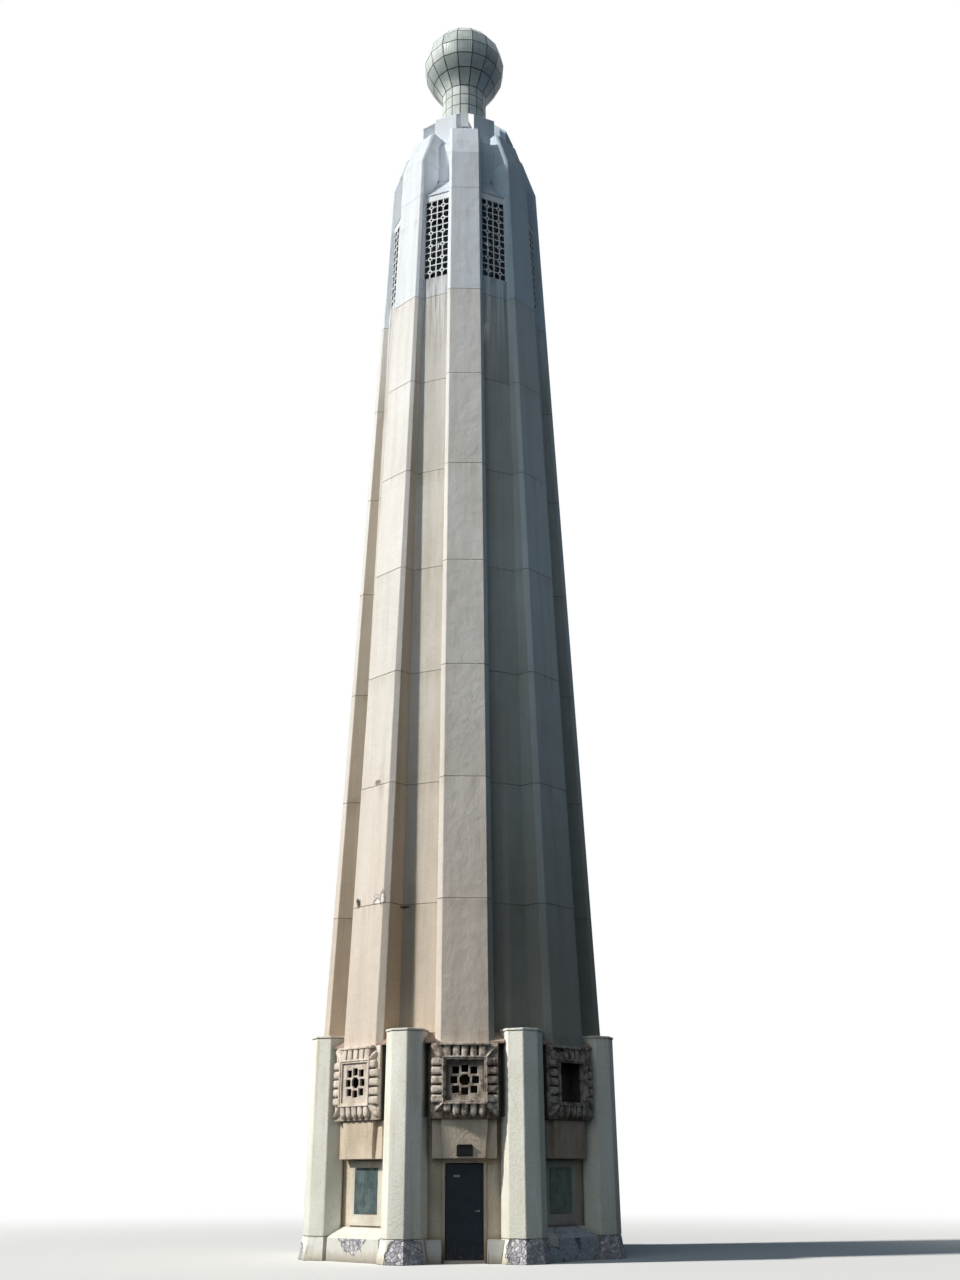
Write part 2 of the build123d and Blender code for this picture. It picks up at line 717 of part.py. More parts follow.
def pierced(outer, inner):
    """Faces of one field of the frame: both its skins with a hole, and the four sides of the hole."""
    normal = facing(outer)
    hole = inset(outer, FRAME_BAR / 2)
    back = [h - normal * (outer[0] - inner[0]).dot(normal) for h in hole]
    faces = [Face(polygon(outer), [polygon(hole)]), Face(polygon(inner), [polygon(back)])]
    for i in range(len(hole)):
        j = (i + 1) % len(hole)
        faces.append(Face(polygon([hole[i], hole[j], back[j], back[i]])))
    return faces


def pane(outer):
    """Flat pane in the middle of the frame's depth, just clear of the bars around it."""
    normal = facing(outer)
    edge = inset(outer, FRAME_BAR / 2 + PANE_GAP)
    mid = FRAME_DEPTH / 2
    return solid_between(
        [e - normal * (mid + PANE_THICK / 2) for e in edge],
        [e - normal * (mid - PANE_THICK / 2) for e in edge],
    )


def bulb():
    """Glass bulb of flat panes in a frame of metal bars, one faceted solid with a hole per pane."""
    outer, inner = bulb_rings()
    turns = [(k + 0.5) * BULB_TURN for k in range(BULB_SIDES)]
    faces = [Face(polygon(corners_of_ring(*outer[0], turns)), [polygon(corners_of_ring(*inner[0], turns))])]
    panes = []
    for i in range(len(outer) - 1):
        glass = pane(cell(outer[i], outer[i + 1], *turns[:2]))
        panes += [Rot(0, 0, k * BULB_TURN) * glass for k in range(BULB_SIDES)]
        for k in range(BULB_SIDES):
            pair = (turns[k - 1], turns[k])
            faces += pierced(cell(outer[i], outer[i + 1], *pair), cell(inner[i], inner[i + 1], *pair))
    save("bulb_panes", panes)

    top = outer[-1][0] + CAP_RISE
    lean = CAP_RISE / (outer[-1][1] - CAP_RADIUS)
    cap_in = (top - FRAME_DEPTH, inner[-1][1] - (top - FRAME_DEPTH - inner[-1][0]) / lean)
    cap_out = (top, CAP_RADIUS)
    cap_panes = [pane(corners_of_ring(*cap_out, turns[::2]))]
    faces += pierced(corners_of_ring(*cap_out, turns[::2]), corners_of_ring(*cap_in, turns[::2]))
    for k in range(0, BULB_SIDES, 2):
        trio = [turns[k], turns[k + 1], turns[k] + 2 * BULB_TURN]
        faces.append(Face(polygon(corners_of_ring(*outer[-1], trio))))
        faces.append(Face(polygon(corners_of_ring(*inner[-1], trio))))
        pair = (trio[0], trio[2])
        faces += pierced(cell(outer[-1], cap_out, *pair), cell(inner[-1], cap_in, *pair))
        cap_panes.append(pane(cell(outer[-1], cap_out, *pair)))
    save("bulb_cap_panes", cap_panes)
    save("bulb_frame", [Solid(Shell(faces))])


shaft()
base_walls()
floor()
piers()
carved_bays()
rib_feet()
corbels()
tablets()
plinths()
doorway()
belfry()
crown()
bulb_collar()
bulb()
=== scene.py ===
"""Octagonal ribbed concrete memorial tower with a glass bulb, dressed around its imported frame."""

import math

import bmesh
import bpy
from mathutils import Matrix, Vector, noise as turbulence


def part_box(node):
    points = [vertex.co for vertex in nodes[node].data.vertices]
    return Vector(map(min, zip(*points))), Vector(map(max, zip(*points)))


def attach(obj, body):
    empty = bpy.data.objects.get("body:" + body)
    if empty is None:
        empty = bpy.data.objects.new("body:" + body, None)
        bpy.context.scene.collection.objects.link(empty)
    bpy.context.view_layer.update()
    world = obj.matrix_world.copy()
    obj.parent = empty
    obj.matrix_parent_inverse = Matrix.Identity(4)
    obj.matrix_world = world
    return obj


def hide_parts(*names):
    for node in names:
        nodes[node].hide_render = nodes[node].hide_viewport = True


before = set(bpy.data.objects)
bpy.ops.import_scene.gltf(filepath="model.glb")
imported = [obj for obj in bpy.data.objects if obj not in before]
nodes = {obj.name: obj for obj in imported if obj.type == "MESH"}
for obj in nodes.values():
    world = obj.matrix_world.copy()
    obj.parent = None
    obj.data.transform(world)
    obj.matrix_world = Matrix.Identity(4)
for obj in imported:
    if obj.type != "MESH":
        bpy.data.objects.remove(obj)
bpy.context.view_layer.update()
scene = bpy.context.scene
turbulence.seed_set(1)  # The same wear on every run.

# Studio: a pale floor that fades to a white background, a soft key light from the left
# and an even sky. The camera stands low in front of the door, as in the photograph.

CAMERA_SPOT = (-0.6, -34.5, 1.77)
CAMERA_TILT = 22.5
CAMERA_TURN = -1.81
CAMERA_ROLL = -0.19
CAMERA_LENS = 36.39


class Shade:
    """A shader socket. Sums and products of these and of numbers add the Math nodes they need."""

    def __init__(self, tree, socket=None):
        self.tree = tree
        self.socket = socket

    def node(self, kind, settings=None, inputs=None, output=0):
        """Add a node. Its settings come first, since they decide which sockets it has."""
        made = self.tree.nodes.new("ShaderNode" + kind)
        for name, value in (settings or {}).items():
            setattr(made, name, value)
        for name, value in (inputs or {}).items():
            if isinstance(value, Shade):
                self.tree.links.new(value.socket, made.inputs[name])
            else:
                made.inputs[name].default_value = value
        return Shade(self.tree, made.outputs[output] if made.outputs else None)

    def math(self, operation, *values):
        return self.node("Math", {"operation": operation}, dict(enumerate(values)))

    def vector(self, operation, *values, output="Vector"):
        return self.node("VectorMath", {"operation": operation}, dict(enumerate(values)), output)

    def __add__(self, other):
        return self.math("ADD", self, other)

    def __sub__(self, other):
        return self.math("SUBTRACT", self, other)

    def __rsub__(self, other):
        return self.math("SUBTRACT", other, self)

    def __mul__(self, other):
        return self.math("MULTIPLY", self, other)

    __radd__, __rmul__ = __add__, __mul__


def rgb(r, g, b):
    """A colour as it looks on screen, 0 to 255, as the linear numbers that shaders take."""
    parts = [value / 255 for value in (r, g, b)]
    parts = [v / 12.92 if v < 0.04045 else ((v + 0.055) / 1.055) ** 2.4 for v in parts]
    return (*parts, 1.0)


def new_material(name):
    """Empty material, its shader tree, and the position on the piece in the tower's own frame."""
    made = bpy.data.materials.new(name)
    made.use_nodes = True
    made.node_tree.nodes.clear()
    shade = Shade(made.node_tree)
    return made, shade, shade.node("TexCoord", output="Object")


def step(value, low, high):
    """Rises smoothly from 0 to 1 while value goes from low to high."""
    inputs = {"Value": value, "From Min": low, "From Max": high}
    return value.node("MapRange", {"interpolation_type": "SMOOTHSTEP"}, inputs)


def mix(factor, first, second, blend="MIX"):
    """First colour where factor is 0, second where it is 1."""
    settings = {"data_type": "RGBA", "blend_type": blend}
    return factor.node("Mix", settings, {0: factor, 6: first, 7: second}, 2)


def mesh_of(name, shape):
    """Mesh of a shape, which is used up."""
    mesh = bpy.data.meshes.new(name)
    shape.to_mesh(mesh)
    shape.free()
    return mesh


def put(name, data):
    """New object in the scene."""
    made = bpy.data.objects.new(name, data)
    scene.collection.objects.link(made)
    return made


def lay(material, object_or_node):
    """Give a piece or a CAD node this material in every slot."""
    slots = object_or_node.data.materials
    if not slots:
        slots.append(material)
    for k in range(len(slots)):
        slots[k] = material


# The floor is pale to the camera, darker in the light that it throws back, and white far away.
FADE = (9.0, 42.0)
floor_material, shade, spot = new_material("studio_floor")
far = step(spot.vector("LENGTH", spot, output="Value"), *FADE)
camera_ray = shade.node("LightPath", output="Is Camera Ray")
pale = mix(camera_ray, rgb(56, 62, 68), rgb(232, 232, 230))
pale = shade.node("BsdfDiffuse", None, {"Color": pale})
white = shade.node("Emission", None, {"Color": (1, 1, 1, 1), "Strength": 1.0})
fade = shade.node("MixShader", None, {0: far * camera_ray, 1: pale, 2: white})
shade.node("OutputMaterial", None, {0: fade})

ground = bmesh.new()
bmesh.ops.create_circle(ground, cap_ends=True, segments=96, radius=400)
floor = put("studio_floor", mesh_of("studio_floor", ground))
lay(floor_material, floor)

world = bpy.data.worlds.new("studio_sky")
scene.world = world
world.use_nodes = True
world.node_tree.nodes.clear()
sky = Shade(world.node_tree)
seen = sky.node("LightPath", output="Is Camera Ray")
for ray in ("Is Glossy Ray", "Is Transmission Ray"):
    seen = seen.math("MAXIMUM", seen, sky.node("LightPath", output=ray))
glow = sky.node("Background", None, {"Color": (0.49, 0.755, 1.06, 1), "Strength": 0.097})
plain = sky.node("Background", None, {"Color": (1, 1, 1, 1), "Strength": 1.0})
both = sky.node("MixShader", None, {0: seen, 1: glow, 2: plain})
sky.node("OutputWorld", None, {0: both})

# Each lamp's bearing from the door side, height, strength, spread and colour.
LAMPS = (
    ("key", -76, 38, 4.15, 4, (1.0, 0.97, 0.925)),
    ("fill", -30, 25, 0.56, 60, (0.88, 0.95, 1.0)),
)
for name, bearing, height, strength, spread, colour in LAMPS:
    lamp = bpy.data.lights.new(name, "SUN")
    lamp.energy = strength
    lamp.angle = math.radians(spread)
    lamp.color = colour
    put(name, lamp).rotation_euler = (math.radians(90 - height), 0, math.radians(bearing))

camera = bpy.data.cameras.new("camera")
camera.lens = CAMERA_LENS
camera.sensor_width = 36
camera.clip_end = 2000
viewer = put("camera", camera)
viewer.location = CAMERA_SPOT
turn = Matrix.Rotation(math.radians(CAMERA_TURN), 4, "Z")
tilt = Matrix.Rotation(math.radians(90 + CAMERA_TILT), 4, "X")
roll = Matrix.Rotation(math.radians(CAMERA_ROLL), 4, "Z")
viewer.rotation_euler = (turn @ tilt @ roll).to_euler()
scene.camera = viewer
scene.view_settings.view_transform = "Standard"

# Shaft: ribs and wall strips of rough concrete, cast in place one lift on another, each just over
# three metres. The arrises are worn, each joint shows as a thin dark line, and the mix gets whiter
# higher up. The crown over the grilles is cast of the same concrete.

SIDES = 8
EIGHTH = math.tau / SIDES
SHAFT_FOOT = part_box("rib_lifts_odd")[0].z
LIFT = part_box("rib_lifts_even")[0].z - SHAFT_FOOT
SHAFT_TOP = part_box("rib_lifts_even")[1].z
GRILLE_FOOT, GRILLE_TOP = (c.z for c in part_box("belfry_grilles"))
COOL_FROM = SHAFT_FOOT + 7 * LIFT
# Reach of a rib's face at the foot and top of the shaft, and how far back the strips lie.
RIB_FACE = (3.488, 2.439)
STRIP_SETBACK = 0.516


def stretched(spot, x, y, z):
    """Position scaled along each axis, so that a pattern is drawn out along the small ones."""
    return spot.vector("MULTIPLY", spot, (x, y, z))


def noise(spot, scale, detail=4.0, rough=0.55):
    inputs = {"Vector": spot, "Scale": scale, "Detail": detail, "Roughness": rough}
    return spot.node("TexNoise", None, inputs)


def drawn(spot, level, upright, detail=4.0, rough=0.55):
    """Noise of one scale level and another upright, so that it's drawn out along the smaller."""
    return noise(stretched(spot, level, level, upright), 1.0, detail, rough)


def axis_of(spot, axis):
    return spot.node("SeparateXYZ", None, {0: spot}, "XYZ".index(axis))


def above(value, limit):
    """1 above the limit, 0 below it."""
    return value.math("GREATER_THAN", value, limit)


def at_least(first, second):
    """The greater of two values."""
    return first.math("MAXIMUM", first, second)


def tint(factor, first, second):
    """Second colour laid over the first by multiplying, as far as factor says."""
    return mix(factor, first, second, "MULTIPLY")


def away(spot, centre):
    """Distance from a point on the piece."""
    return spot.vector("DISTANCE", spot, centre, output="Value")


def level_part(spot):
    """Position with its height left out."""
    return stretched(spot, 1.0, 1.0, 0.0)


def from_axis(spot):
    """Distance from the tower's axis."""
    return spot.vector("LENGTH", level_part(spot), output="Value")


def outward(spot):
    """Level direction away from the tower's axis."""
    return spot.vector("NORMALIZE", level_part(spot))


def bearing_of(spot):
    """Bearing from the door side, in radians."""
    return spot.math("ARCTAN2", axis_of(spot, "X"), 0 - axis_of(spot, "Y"))


def faced(spot):
    """The direction that a face is turned to."""
    return spot.node("NewGeometry", output="Normal")


def stones(spot, size, output=0):
    """Cells of a size: 0 gives the distance from a cell's middle, 1 its own colour."""
    return spot.node("TexVoronoi", None, {"Vector": spot, "Scale": 1 / size}, output)


def bumped(height, depth, below=None):
    """Relief that stands depth high, over the relief below."""
    inputs = {"Height": height, "Distance": depth, "Strength": 1.0}
    if below:
        inputs["Normal"] = below
    return height.node("Bump", None, inputs)


def finish_with(shade, colour, roughness, normal, **extra):
    """Close a material with a surface of this colour, roughness and relief."""
    inputs = {"Base Color": colour, "Roughness": roughness, "Normal": normal}
    for name, value in extra.items():
        inputs[name.replace("_", " ")] = value
    surface = shade.node("BsdfPrincipled", None, inputs)
    shade.node("OutputMaterial", None, {0: surface})


def hollows(shade, reach):
    """Rises to 1 in corners and grooves narrower than reach: a mask for painted shade."""
    return 1 - shade.node("AmbientOcclusion", {"samples": 6}, {"Distance": reach}, "AO")


def sunless(spot, start=0.2):
    """Rises to 1 on the side away from the sun and on its faces turned to +X: a mask for painted
    shade.
    """
    east = axis_of(spot, "X")
    aside = step(axis_of(faced(spot), "X"), start, start + 0.3) * above(east, 0.0)
    return at_least(aside, step(east + axis_of(spot, "Y") * 0.25, 0.3, 0.5))


def on_tower(turn, side, reach, height):
    """Point at a bearing in eighths of a turn from the door side, in the frame of that bay."""
    return Matrix.Rotation(turn * EIGHTH, 3, "Z") @ Vector((side, -reach, height))


def rib_reach(height):
    """How far a rib's face stands from the tower's axis at a height."""
    share = (height - SHAFT_FOOT) / (SHAFT_TOP - SHAFT_FOOT)
    return RIB_FACE[0] + share * (RIB_FACE[1] - RIB_FACE[0])


# Chips in the ribs beside the joints, and a slot in one strip: bearing in eighths of a turn, side,
# joint, height over it, size, how much taller than wide, and the colour of the broken face, which
# in the deepest is painted shade.
FRESH = rgb(250, 247, 240)
PALE = rgb(238, 233, 224)
OLD = rgb(150, 138, 124)
# Painted shade inside the deepest chips and the slot.
DEEP_SHADE = rgb(70, 62, 56)
CHIPS = (
    (-1, 0.34, 1, 0.05, 0.13, 0.5, FRESH),
    (-1, 0.50, 1, 0.12, 0.07, 2.2, PALE),
    (-1, 0.30, 1, 0.20, 0.07, 0.5, PALE),
    (-1, -0.34, 1, 0.09, 0.06, 1.6, DEEP_SHADE),
    (-1, -0.40, 1, 0.16, 0.04, 1.4, DEEP_SHADE),
    (-1, 0.10, 2, 0.08, 0.09, 0.7, OLD),
    (-0.5, -0.40, 1, -0.06, 0.12, 0.28, DEEP_SHADE),
    (2, 0.25, 3, -0.05, 0.11, 0.7, OLD),
    (4, -0.38, 1, 0.0, 0.12, 0.7, FRESH),
)


def chipped(spot, colour):
    """The colour with the chips in it, and a mask of the chips."""
    chips = None
    for turn, side, joint, over, size, tall, inner in CHIPS:
        height = SHAFT_FOOT + joint * LIFT + over
        reach = rib_reach(height) - (0 if turn == round(turn) else STRIP_SETBACK)
        middle = on_tower(turn, side, reach, height / tall)
        far = away(stretched(spot, 1.0, 1.0, 1 / tall), middle)
        far = far + (noise(spot, 9.0, 4.0, 0.7) - 0.5) * 2 * size
        chip = 1 - step(far, size * 0.7, size)
        edge = step(far, size * 0.8, size) * (1 - step(far, size * 1.1, size * 1.4))
        colour = tint(edge * 0.5, mix(chip, colour, inner), rgb(132, 122, 112))
        chips = at_least(chips, chip) if chips else chip
    return colour, chips


def shaft_concrete(name, streaked, soiled=(1, 1, 1, 1)):
    """Concrete cast in lifts. The wall strips are streaked: duller, stained below the grilles and
    given a painted shadow along one side. Soiled is a tint for pieces that hold more dirt."""
    made, shade, spot = new_material(name)
    height = axis_of(spot, "Z")
    lift = (height - SHAFT_FOOT) * (1 / LIFT)
    level = lift.math("FLOOR", lift)
    within = (lift - level) * LIFT
    joint = within.math("MINIMUM", within, LIFT - within)
    wander = noise(spot, 3.0, 3.0)

    # The mix: warm at the foot, paler above and cool from the seventh joint up.
    pale = step(height + wander * 2.0, 5.5, 17.0)
    colour = mix(pale, rgb(234, 221, 206), rgb(247, 244, 237))
    colour = mix(above(height, COOL_FROM), colour, rgb(245, 250, 253))
    tone = shade.node("TexWhiteNoise", {"noise_dimensions": "1D"}, {"W": level}, "Value")
    colour = tint(tone * 0.3, colour, rgb(232, 230, 227))
    patchy = step(drawn(spot, 0.7, 0.35, 5.0, 0.6), 0.35, 0.7)
    colour = tint(patchy * 0.3, colour, rgb(230, 226, 220))

    # Runs of rain water, the grain of the cast face and the pebbles in it.
    runs = step(drawn(spot, 4.0, 0.12, 5.0, 0.62), 0.42, 0.72)
    colour = tint(runs * 0.3, colour, rgb(216, 210, 202))
    fine_runs = step(drawn(spot, 17.0, 0.3, 3.0, 0.6), 0.5, 0.8)
    colour = tint(fine_runs * 0.2, colour, rgb(218, 213, 206))
    under = (1 - step(LIFT - within, 0.0, 0.55)) * runs
    colour = tint(under * 0.4, colour, rgb(206, 196, 182))
    grain = noise(spot, 42.0, 3.0, 0.7)
    colour = tint(step(grain, 0.42, 0.7) * 0.35, colour, rgb(210, 204, 196))
    pebble = stones(spot, 0.022, 1)
    colour = tint(pebble * 0.14, colour, rgb(184, 176, 166))
    if streaked:
        colour = tint(patchy * 0.3 + 0.7, colour, rgb(226, 223, 217))
        band = step(height, GRILLE_FOOT - 3.6, GRILLE_FOOT - 0.1)
        band = band * (1 - above(height, GRILLE_FOOT))
        drip = drawn(spot, 9.0, 0.1, 4.0, 0.65)
        colour = tint(band * step(drip, 0.45, 0.62) * 0.6, colour, rgb(186, 184, 180))
        colour = mix(band * step(drip, 0.56, 0.4) * 0.8, colour, rgb(246, 246, 242))

    # Joints between the lifts, pits left by air and chips.
    cast = above(height, SHAFT_FOOT + 0.5) * (1 - above(height, SHAFT_FOOT + 7.5 * LIFT))
    line = (1 - step(joint + wander * 0.012, 0.004, 0.020)) * cast
    worn = step(noise(spot, 1.1, 3.0), 0.3, 0.62)
    colour = tint(line * (0.15 + worn * 0.35), colour, rgb(150, 143, 136))
    pit = 1 - step(stones(spot, 0.34) * 0.34 + grain * 0.01, 0.010, 0.018)
    pit = pit * step(noise(spot, 2.3, 1.0), 0.55, 0.6)
    colour = tint(pit * 0.8, colour, rgb(120, 110, 100))
    colour, chips = chipped(spot, colour)

    # Painted shade: the inside of the belfry near black and the flanks of the ribs darker. Dust on
    # faces that look up.
    inside = 1 - step(from_axis(spot) + height * 0.0245, 2.99, 3.035)
    inside = inside * above(height, GRILLE_FOOT) * (1 - above(height, SHAFT_TOP - 0.02))
    colour = mix(inside * 0.97, colour, rgb(30, 29, 27))
    colour = tint(at_least(patchy, 0.8), colour, soiled)
    skyward = step(axis_of(faced(spot), "Z"), 0.12, 0.3)
    colour = tint(skyward * (0.7 + patchy * 0.3), colour, rgb(232, 235, 238))
    straight = spot.vector("DOT_PRODUCT", outward(spot), faced(spot), output="Value")
    flank_shade = (1 - step(straight, 0.3, 0.5)) * (1 - step(height, 22.0, 27.0))
    flank_shade = flank_shade * (0.9 - 0.35 * above(axis_of(spot, "X"), -1.4))
    colour = tint(flank_shade, colour, rgb(205, 196, 184))

    # Painted shade, cool, on the side away from the sun, deeper low down. Painted light high up on
    # the
    # lit side: lighter on the ribs, cooler on the strips.
    shaded_side = sunless(spot)
    colour = tint(shaded_side * 0.9, colour, rgb(222, 240, 252))
    painted_light_high = step(height, 18.0, 25.0) * (1 - shaded_side)
    colour = tint(painted_light_high, colour, (0.94, 0.97, 1.02, 1) if streaked else (1.06, 1.08, 1.12, 1))
    if streaked:
        # Painted shadow of each rib on the near side of the strip beside it.
        bearing = bearing_of(spot) * (1 / EIGHTH)
        bay_share = bearing - bearing.math("FLOOR", bearing)
        shaded_side = at_least(shaded_side, 1 - step(bay_share + wander * 0.02, 0.42, 0.52))
    low = 1 - step(height + wander * 2.0, 7.0, 18.0)
    colour = tint(shaded_side * low * 0.85, colour, rgb(186, 189, 190))

    relief = bumped(grain + pebble * 0.5, 0.004)
    relief = bumped(wander, 0.02, relief)
    relief = bumped(0 - line - pit, 0.010, relief)
    relief = bumped(0 - chips, 0.03, relief)
    finish_with(shade, colour, 0.86, relief)
    return made


SAME_SPOT = 0.0002
SAME_PLANE = math.radians(0.5)
ARRIS = math.radians(20)
CREASE = math.radians(38)


def merged(node):
    """Copy of a CAD node with its loose triangles merged to flat faces."""
    shape = bmesh.new()
    shape.from_mesh(nodes[node].data)
    bmesh.ops.remove_doubles(shape, verts=shape.verts, dist=SAME_SPOT)
    bmesh.ops.dissolve_limit(shape, angle_limit=SAME_PLANE, verts=shape.verts, edges=shape.edges)
    bmesh.ops.recalc_face_normals(shape, faces=shape.faces)
    return shape


def rounded(shape, edges, radius, rounds=2, clamp=False):
    """Round these edges of a shape."""
    bmesh.ops.bevel(
        shape, geom=edges, offset=radius, segments=rounds, profile=0.5,
        affect="EDGES", material=-1, clamp_overlap=clamp,
    )


def copy_of(node, edge, rounds=2, plain_at=None):
    """Solid copy of a CAD node with its arrises worn round. Level ones at the height plain_at stay
    sharp, so that a filled joint there doesn't show."""
    shape = merged(node)
    arrises = [e for e in shape.edges if e.is_manifold and e.calc_face_angle() > ARRIS]
    if plain_at:
        arrises = [e for e in arrises if any(abs(v.co.z - plain_at) > 0.002 for v in e.verts)]
    rounded(shape, arrises, edge, rounds, clamp=True)
    return shape


def piece(name, shape, material, body="tower", smooth=False):
    """Make the shape an object that rides on a body of the frame."""
    bmesh.ops.recalc_face_normals(shape, faces=shape.faces)
    mesh = mesh_of(name, shape)
    if smooth:
        mesh.shade_smooth()
        mesh.set_sharp_from_angle(angle=CREASE)
    made = put(name, mesh)
    lay(material, made)
    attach(made, body)
    return made


rib_concrete = shaft_concrete("rib_concrete", False)
strip_concrete = shaft_concrete("strip_concrete", True)
ledge_concrete = shaft_concrete("ledge_concrete", False, rgb(226, 228, 230))
for node, edge, material in (
    ("rib_lifts_odd", 0.014, rib_concrete),
    ("rib_lifts_even", 0.014, rib_concrete),
    ("rib_feet", 0.014, rib_concrete),
    ("wall_lifts_odd", 0.010, strip_concrete),
    ("wall_lifts_even", 0.010, strip_concrete),
    ("belfry_ledges", 0.010, ledge_concrete),
    ("crown_ribs", 0.014, rib_concrete),
    ("crown_rib_tips", 0.016, rib_concrete),
    ("drum_walls", 0.010, rib_concrete),
    ("drum_roof", 0.008, ledge_concrete),
    ("crown_blocks", 0.014, rib_concrete),
):
    shape = copy_of(node, edge, plain_at=SHAFT_FOOT)
    made = piece(node + "_worn", shape, material)
    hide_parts(node)


# Belfry: a white cast lattice set in each recess between the ribs, four holes wide and twelve high,
# cut clean through. Every second crossing carries a small ring, which rounds off the four holes
# around it, and a plain lintel closes the top.

COLUMNS = 4
ROWS = 12
LATTICE_BAR = 0.031
LATTICE_DEPTH = 0.020
LINTEL_HEIGHT = 0.23
LINTEL_DEPTH = LATTICE_DEPTH + 0.03
RING_HOLE = 0.043
RING_REACH = 0.080
RING_LAP = 0.004
RING_PROUD = 0.003

lattice_white, shade, spot = new_material("lattice_white")
colour = mix(drawn(spot, 6.0, 0.8, 5.0), rgb(250, 252, 252), rgb(232, 236, 238))
# Painted shade in the corners of the lattice.
colour = tint(hollows(shade, 0.04) * 0.4, colour, rgb(170, 168, 160))
finish_with(shade, colour, 0.8, bumped(noise(spot, 60.0, 3.0), 0.002))

# Corners of the grille left of the door side, turned to face straight ahead.
to_front = Matrix.Rotation(EIGHTH / 2, 3, "Z")
corners = [v.co for v in nodes["belfry_grilles"].data.vertices]
corners = [to_front @ c for c in corners if c.y < c.x < 0]
LATTICE_HALF = max(abs(c.x) for c in corners)
LATTICE_FACE = max(-c.y for c in corners)
top_face = max(-c.y for c in corners if c.z > GRILLE_TOP - 0.01)
LATTICE_LEAN = (LATTICE_FACE - top_face) / (GRILLE_TOP - GRILLE_FOOT)


def turned(shape, angle, axis):
    """Turn a whole shape about an axis through the origin."""
    turn = Matrix.Rotation(angle, 3, axis)
    bmesh.ops.rotate(shape, verts=shape.verts, cent=(0, 0, 0), matrix=turn)


def shifted(shape, x=0.0, y=0.0, z=0.0):
    """Move a whole shape."""
    bmesh.ops.translate(shape, verts=shape.verts, vec=(x, y, z))


def new_verts(made):
    """Vertices that an extrusion made."""
    return [v for v in made["geom"] if isinstance(v, bmesh.types.BMVert)]


def stand_up(shape, face, centre_height):
    """Stand a shape drawn flat, face up, in front of the door side at that reach and height."""
    turned(shape, math.pi / 2, "X")
    shifted(shape, y=-face, z=centre_height)


def bar_at(k, count, pitch):
    """Place of a bar from the middle of the grille."""
    return (k - count / 2) * pitch


def grid_lines(count, pitch):
    """Edges of the bars across a grille, and of the rings on every second bar."""
    lines = []
    for k in range(count + 1):
        centre = bar_at(k, count, pitch)
        spread = (RING_REACH - RING_LAP, LATTICE_BAR / 2) if k % 2 else (LATTICE_BAR / 2,)
        lines += [centre - s for s in spread] + [centre + s for s in reversed(spread)]
    lines[0], lines[-1] = -count / 2 * pitch, count / 2 * pitch
    return lines


def crossing_ring(shape, centre):
    """Flat ring over a crossing, drawn through to the back of the lattice."""
    rim = bmesh.ops.create_circle(shape, segments=12, radius=RING_REACH)["verts"]
    bmesh.ops.translate(shape, verts=rim, vec=centre + Vector((0, 0, RING_PROUD)))
    edges = list({e for v in rim for e in v.link_edges})
    inner = new_verts(bmesh.ops.extrude_edge_only(shape, edges=edges))
    share = RING_HOLE / RING_REACH
    to_centre = Matrix.Translation(-centre)
    bmesh.ops.scale(shape, verts=inner, vec=(share, share, 1), space=to_centre)
    faces = list({f for v in inner for f in v.link_faces})
    deep = new_verts(bmesh.ops.extrude_face_region(shape, geom=faces))
    bmesh.ops.translate(shape, verts=deep, vec=(0, 0, -LATTICE_DEPTH - 2 * RING_PROUD))


def lattice():
    """One grille: thin bars, which stop short of the ring in every second crossing."""
    shape = bmesh.new()
    half_height = (GRILLE_TOP - LINTEL_HEIGHT - GRILLE_FOOT) / 2
    wide = 2 * LATTICE_HALF / COLUMNS
    high = 2 * half_height / ROWS
    across = grid_lines(COLUMNS, wide)
    up = grid_lines(ROWS, high)
    cells = (len(across) - 1, len(up) - 1)
    bmesh.ops.create_grid(shape, x_segments=cells[0], y_segments=cells[1], size=1.0)
    for v in shape.verts:
        v.co.x = across[round((v.co.x + 1) / 2 * cells[0])]
        v.co.y = up[round((v.co.y + 1) / 2 * cells[1])]
    open_faces = []
    for face in shape.faces:
        spot = face.calc_center_median()
        column = round(spot.x / wide + COLUMNS / 2)
        row = round(spot.y / high + ROWS / 2)
        aside = abs(spot.x - bar_at(column, COLUMNS, wide))
        level = abs(spot.y - bar_at(row, ROWS, high))
        at_ring = column % 2 and row % 2 and max(aside, level) < RING_REACH
        if at_ring or min(aside, level) > LATTICE_BAR / 2:
            open_faces.append(face)
    bmesh.ops.delete(shape, geom=open_faces, context="FACES")
    bmesh.ops.solidify(shape, geom=shape.faces[:], thickness=LATTICE_DEPTH)
    for column in range(1, COLUMNS, 2):
        for row in range(1, ROWS, 2):
            x = bar_at(column, COLUMNS, wide)
            crossing_ring(shape, Vector((x, bar_at(row, ROWS, high), 0)))
    lintel = bmesh.ops.create_cube(shape, size=1.0)["verts"]
    bmesh.ops.scale(shape, verts=lintel, vec=(2 * LATTICE_HALF, LINTEL_HEIGHT, LINTEL_DEPTH))
    middle = (0, half_height + LINTEL_HEIGHT / 2, RING_PROUD - LINTEL_DEPTH / 2)
    bmesh.ops.translate(shape, verts=lintel, vec=middle)
    shifted(shape, z=-max(v.co.z for v in shape.verts))
    stand_up(shape, LATTICE_FACE, half_height)
    lean = Matrix.Identity(4)
    lean[1][2] = LATTICE_LEAN
    bmesh.ops.transform(shape, matrix=lean, verts=shape.verts)
    shifted(shape, z=GRILLE_FOOT)
    return shape


shape = lattice()
turned(shape, EIGHTH / 2, "Z")
bmesh.ops.spin(
    shape, geom=shape.verts[:] + shape.edges[:] + shape.faces[:], cent=(0, 0, 0), axis=(0, 0, 1),
    dvec=(0, 0, 0), angle=(SIDES - 1) * EIGHTH, steps=SIDES - 1, use_duplicate=True,
)
made = piece("belfry_lattices", shape, lattice_white)
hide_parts("belfry_grilles")


# Bulb: flat panes of cloudy ribbed glass set in a dark painted metal frame, on a painted collar.
# Each pane catches the light a little differently, since no two sit quite in one plane.

